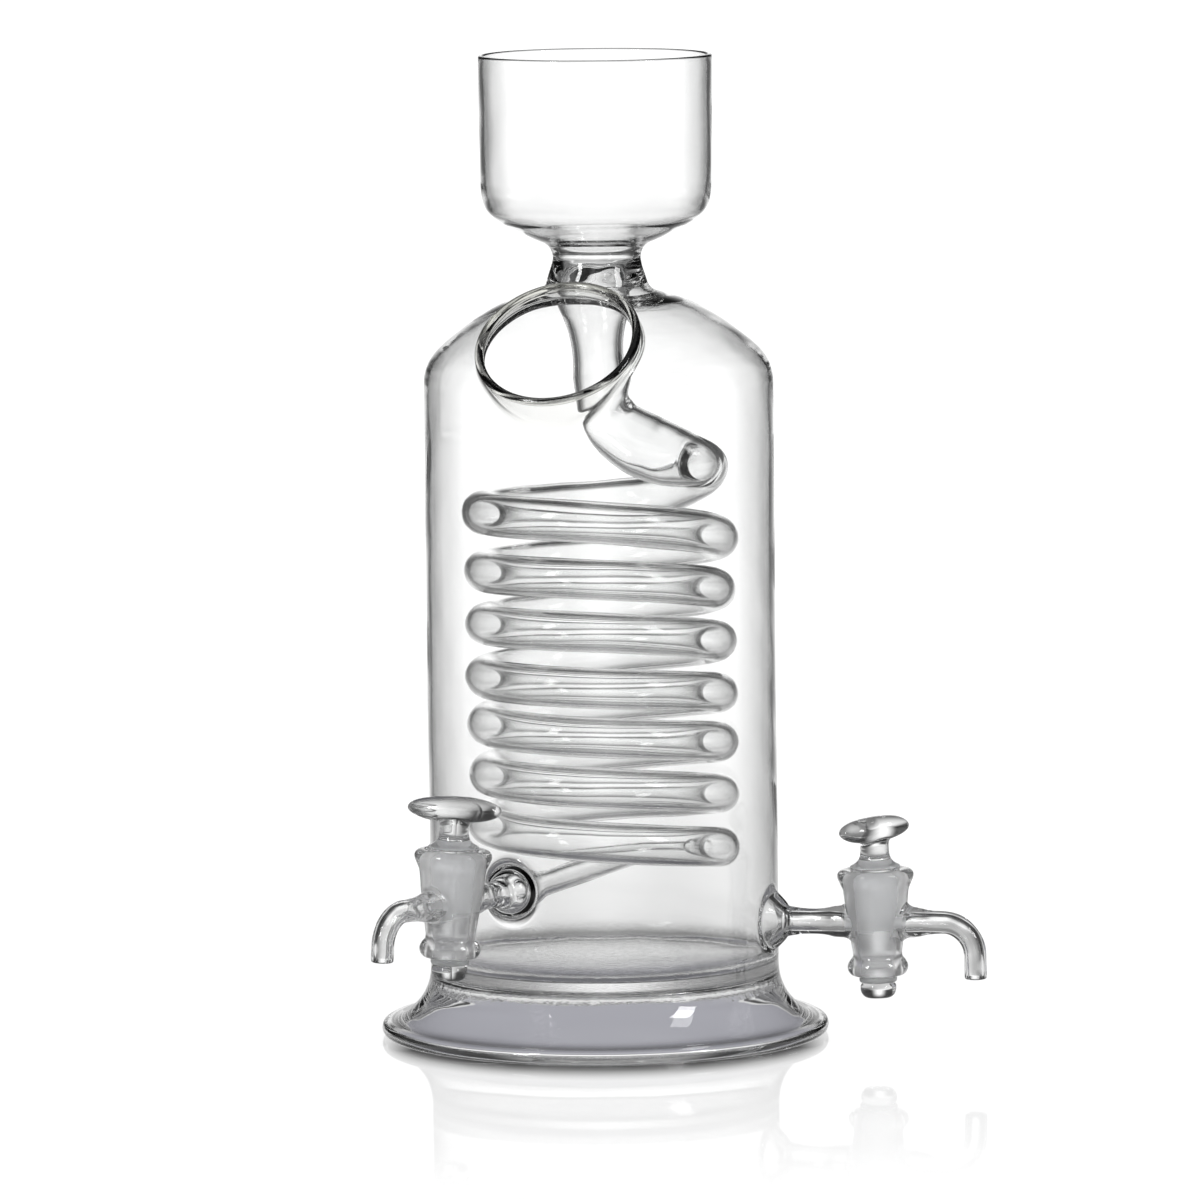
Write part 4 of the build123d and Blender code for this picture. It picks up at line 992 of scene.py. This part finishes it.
# ===========================================================================
# Pieces: name, materials, body and the nodes it stands for
# ===========================================================================
stands_for = {
    "bowl_glass": ([mat_blown], "funnel_bowl"), "neck_glass": ([mat_blown], "neck_sleeve"),
    "drop_tube_glass": ([mat_tube], "drop_tube"), "lead_in_glass": ([mat_tube], "lead_in_tube"),
    "coil_glass": ([mat_tube], ["coil_turn_%d" % k for k in range(1, 8)]), "lead_out_glass": ([mat_tube], "lead_out_tube"),
    "wall_glass": ([mat_wall], "vessel_wall"), "shoulder_glass": ([mat_blown], "vessel_shoulder"),
    "floor_glass": ([mat_floor], "vessel_floor"), "skirt_glass": ([mat_foot], "foot_skirt"),
    "foot_bead": ([mat_foot], "foot_rim"), "ice_port_collar_glass": ([mat_collar], "ice_port_collar"),
    "ice_port_bead": ([mat_rim], "ice_port_rim"),
}
for side in ("outlet", "drain"):
    stands_for[side + "_boss_glass"] = ([mat_tap], side + "_boss")
    stands_for[side + "_stem_glass"] = ([mat_tap], side + "_stem")
    stands_for[side + "_barrel_glass"] = ([mat_tap, mat_ground, mat_fine], side + "_barrel")
    stands_for[side + "_spout_glass"] = ([mat_tap], side + "_spout")
    stands_for[side + "_plug_glass"] = ([mat_tap, mat_ground, mat_fine], side + "_plug")
    stands_for[side + "_handle_glass"] = ([mat_handle], side + "_handle")
    stands_for[side + "_silicone_ring"] = ([mat_ring], side + "_retaining_ring")

meshes = finish_surfaces(uneven)
missing = sorted(set(stands_for) - set(meshes))
if missing or sorted(set(meshes) - set(stands_for)):
    raise ValueError("pieces without surfaces or places: %s %s" % (missing, sorted(set(meshes) - set(stands_for))))
for name in sorted(stands_for):
    mats, node = stands_for[name]
    ob = make_piece(name, meshes[name], mats)
    nodes = node if isinstance(node, list) else [node]
    node = nodes[0]
    body = "vessel"
    for side in ("outlet", "drain"):
        if node in (side + "_plug", side + "_handle", side + "_retaining_ring"):
            body = side + "_tap_plug"
    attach(ob, body)
    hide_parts(*nodes)

# ===========================================================================
# Floor, world and lights
# ===========================================================================
me = bpy.data.meshes.new("studio_floor")
s = 14.0
me.from_pydata([(-s, -s, 0), (s, -s, 0), (s, s, 0), (-s, s, 0)], [], [(0, 1, 2, 3)])
floor = bpy.data.objects.new("studio_floor", me)
scene.collection.objects.link(floor)
fm, nt = new_material("studio_floor")
me.materials.append(fm)
N, L = nt.nodes, nt.links


def math_node(op, a, b=None):
    node = N.new("ShaderNodeMath")
    node.operation = op
    for k, v in enumerate((a, b)):
        if v is None:
            continue
        if isinstance(v, (int, float)):
            node.inputs[k].default_value = v
        else:
            L.new(v, node.inputs[k])
    return node.outputs[0]


def smooth(v, lo, hi, a=0.0, b=1.0):
    """a at lo, b at hi, with a soft start and end; lo may be the larger one."""
    if lo > hi:
        lo, hi, a, b = hi, lo, b, a
    node = N.new("ShaderNodeMapRange")
    node.interpolation_type = "SMOOTHSTEP"
    for k, x in (("From Min", lo), ("From Max", hi), ("To Min", a), ("To Max", b)):
        node.inputs[k].default_value = x
    L.new(v, node.inputs["Value"])
    return node.outputs[0]


out = N.new("ShaderNodeOutputMaterial")
path = N.new("ShaderNodeLightPath")
geo = N.new("ShaderNodeNewGeometry")
sep = N.new("ShaderNodeSeparateXYZ")
L.new(geo.outputs["Position"], sep.inputs[0])
# painted light on the table as the glass shows it: its emission is grey near the object (painted shade) and white far
# from it, towards the four panels
through = N.new("ShaderNodeEmission")
radius = math_node("SQRT", math_node("ADD", math_node("MULTIPLY", sep.outputs["X"], sep.outputs["X"]),
                                     math_node("MULTIPLY", sep.outputs["Y"], sep.outputs["Y"])))
across = math_node("MINIMUM", math_node("ABSOLUTE", sep.outputs["X"]), math_node("ABSOLUTE", sep.outputs["Y"]))
table_level = math_node("MULTIPLY", math_node("SUBTRACT", smooth(radius, -0.25, 1.4, 0.74, 1.16), 0.10),
                        smooth(math_node("DIVIDE", across, math_node("ADD", radius, 0.5)), 0.36, 0.03))
table_level = math_node("ADD", table_level, 0.10)
table_level = math_node("ADD", table_level, smooth(sep.outputs["Y"], -0.10, -0.9, 0.0, 0.25))
# painted reflection: the table's emission is made brighter at flat views than at steep ones, standing in for its gloss
facing = N.new("ShaderNodeLayerWeight")
facing.inputs["Blend"].default_value = 0.5
steep = math_node("SUBTRACT", 1.0, facing.outputs["Facing"])
table_level = math_node("MULTIPLY", table_level, smooth(steep, 0.18, 0.62, 1.0, 0.32))
# little light reaches the table under the hollow foot
under_foot = smooth(radius, 0.0785, 0.0765)
table_level = math_node("MULTIPLY", table_level, math_node("SUBTRACT", 1.0, math_node("MULTIPLY", under_foot, 0.45)))
# painted shade colour: the table under the foot is tinted a faint blue
under_foot_shade_tint = N.new("ShaderNodeMix")
under_foot_shade_tint.data_type = "RGBA"
under_foot_shade_tint.inputs["A"].default_value = (1.0, 1.0, 1.0, 1.0)
under_foot_shade_tint.inputs["B"].default_value = (0.98, 0.98, 1.08, 1.0)
L.new(under_foot, under_foot_shade_tint.inputs["Factor"])
L.new(under_foot_shade_tint.outputs["Result"], through.inputs["Color"])
L.new(table_level, through.inputs["Strength"])
seen = N.new("ShaderNodeEmission")
seen.inputs["Color"].default_value = (1, 1, 1, 1)
# contact shadow in front of the foot's bead
wide = math_node("ABSOLUTE", sep.outputs["X"])
edge = math_node("SQRT", math_node("MAXIMUM", math_node("SUBTRACT", 0.081 ** 2, math_node("MULTIPLY", wide, wide)), 0.0))
gap = math_node("SUBTRACT", math_node("MULTIPLY", sep.outputs["Y"], -1.0), edge)
shade = math_node("MAXIMUM", smooth(gap, -0.002, 0.034, 0.06, 1.0), smooth(wide, 0.068, 0.086))
shade = math_node("MAXIMUM", shade, smooth(sep.outputs["Y"], -0.005, 0.02))
L.new(math_node("MULTIPLY", shade, 1.12), seen.inputs["Strength"])
gloss = N.new("ShaderNodeBsdfGlossy")
gloss.inputs["Roughness"].default_value = 0.03
top = N.new("ShaderNodeMixShader")
L.new(smooth(radius, 0.55, 0.02, 0.0, 0.34), top.inputs["Fac"])
L.new(seen.outputs[0], top.inputs[1])
L.new(gloss.outputs[0], top.inputs[2])
pick = N.new("ShaderNodeMixShader")
L.new(path.outputs["Is Camera Ray"], pick.inputs["Fac"])
L.new(through.outputs[0], pick.inputs[1])
L.new(top.outputs[0], pick.inputs[2])
L.new(pick.outputs[0], out.inputs[0])

w = bpy.data.worlds.new("studio")
scene.world = w
w.use_nodes = True
nt = w.node_tree
nt.nodes.clear()
N, L = nt.nodes, nt.links
out = N.new("ShaderNodeOutputWorld")
bg = N.new("ShaderNodeBackground")
coord = N.new("ShaderNodeTexCoord")
sep = N.new("ShaderNodeSeparateXYZ")
L.new(coord.outputs["Generated"], sep.inputs[0])


x, y, z = sep.outputs["X"], sep.outputs["Y"], sep.outputs["Z"]
# a bright panel behind the object and one on each other side, dark gaps between them, dim light overhead
flat = math_node("SQRT", math_node("ADD", math_node("MULTIPLY", x, x), math_node("MULTIPLY", y, y)))
aside = math_node("DIVIDE", math_node("MINIMUM", math_node("ABSOLUTE", x), math_node("ABSOLUTE", y)),
                  math_node("MAXIMUM", flat, 0.001))
ahead = math_node("MULTIPLY", smooth(aside, 0.32, 0.0), smooth(y, -0.5, 0.7, 0.80, 1.0))
ahead = math_node("MULTIPLY", ahead, smooth(z, 0.38, 0.10))
level = math_node("ADD", 0.04, math_node("MULTIPLY", ahead, 1.16))
level = math_node("ADD", level, smooth(z, 0.80, 0.98, 0.0, 0.35))
lp = N.new("ShaderNodeLightPath")
mix = N.new("ShaderNodeMix")
mix.data_type = "FLOAT"
L.new(lp.outputs["Is Camera Ray"], mix.inputs["Factor"])
L.new(level, mix.inputs["A"])
mix.inputs["B"].default_value = 1.04
bg.inputs["Color"].default_value = (1, 1, 1, 1)
# ground surfaces gather the light of the whole bright studio
soft = N.new("ShaderNodeMix")
soft.data_type = "FLOAT"
L.new(math_node("GREATER_THAN", lp.outputs["Diffuse Depth"], 0.5), soft.inputs["Factor"])
L.new(mix.outputs["Result"], soft.inputs["A"])
soft.inputs["B"].default_value = 1.1
L.new(soft.outputs["Result"], bg.inputs["Strength"])
L.new(bg.outputs[0], out.inputs[0])


def softbox(name, at, size, power, target=(0, 0, 0.18)):
    data = bpy.data.lights.new(name, "AREA")
    data.shape = "RECTANGLE"
    data.size, data.size_y = size
    data.energy = power
    ob = bpy.data.objects.new(name, data)
    scene.collection.objects.link(ob)
    ob.location = at
    ob.rotation_euler = (Vector(target) - Vector(at)).to_track_quat("-Z", "Y").to_euler()
    return ob


softbox("softbox_left", (-1.5, -1.5, 1.3), (0.35, 1.1), 26.0)
softbox("softbox_right", (1.7, -1.1, 1.5), (0.5, 0.9), 20.0)

scene.view_settings.view_transform = "Standard"
scene.view_settings.look = "None"
scene.render.film_transparent = False
cy = scene.cycles
cy.max_bounces = 40
cy.transmission_bounces = 40
cy.glossy_bounces = 12
cy.diffuse_bounces = 3
cy.transparent_max_bounces = 40
cy.caustics_reflective = True
cy.caustics_refractive = True
cy.sample_clamp_indirect = 6.0
cy.use_denoising = True
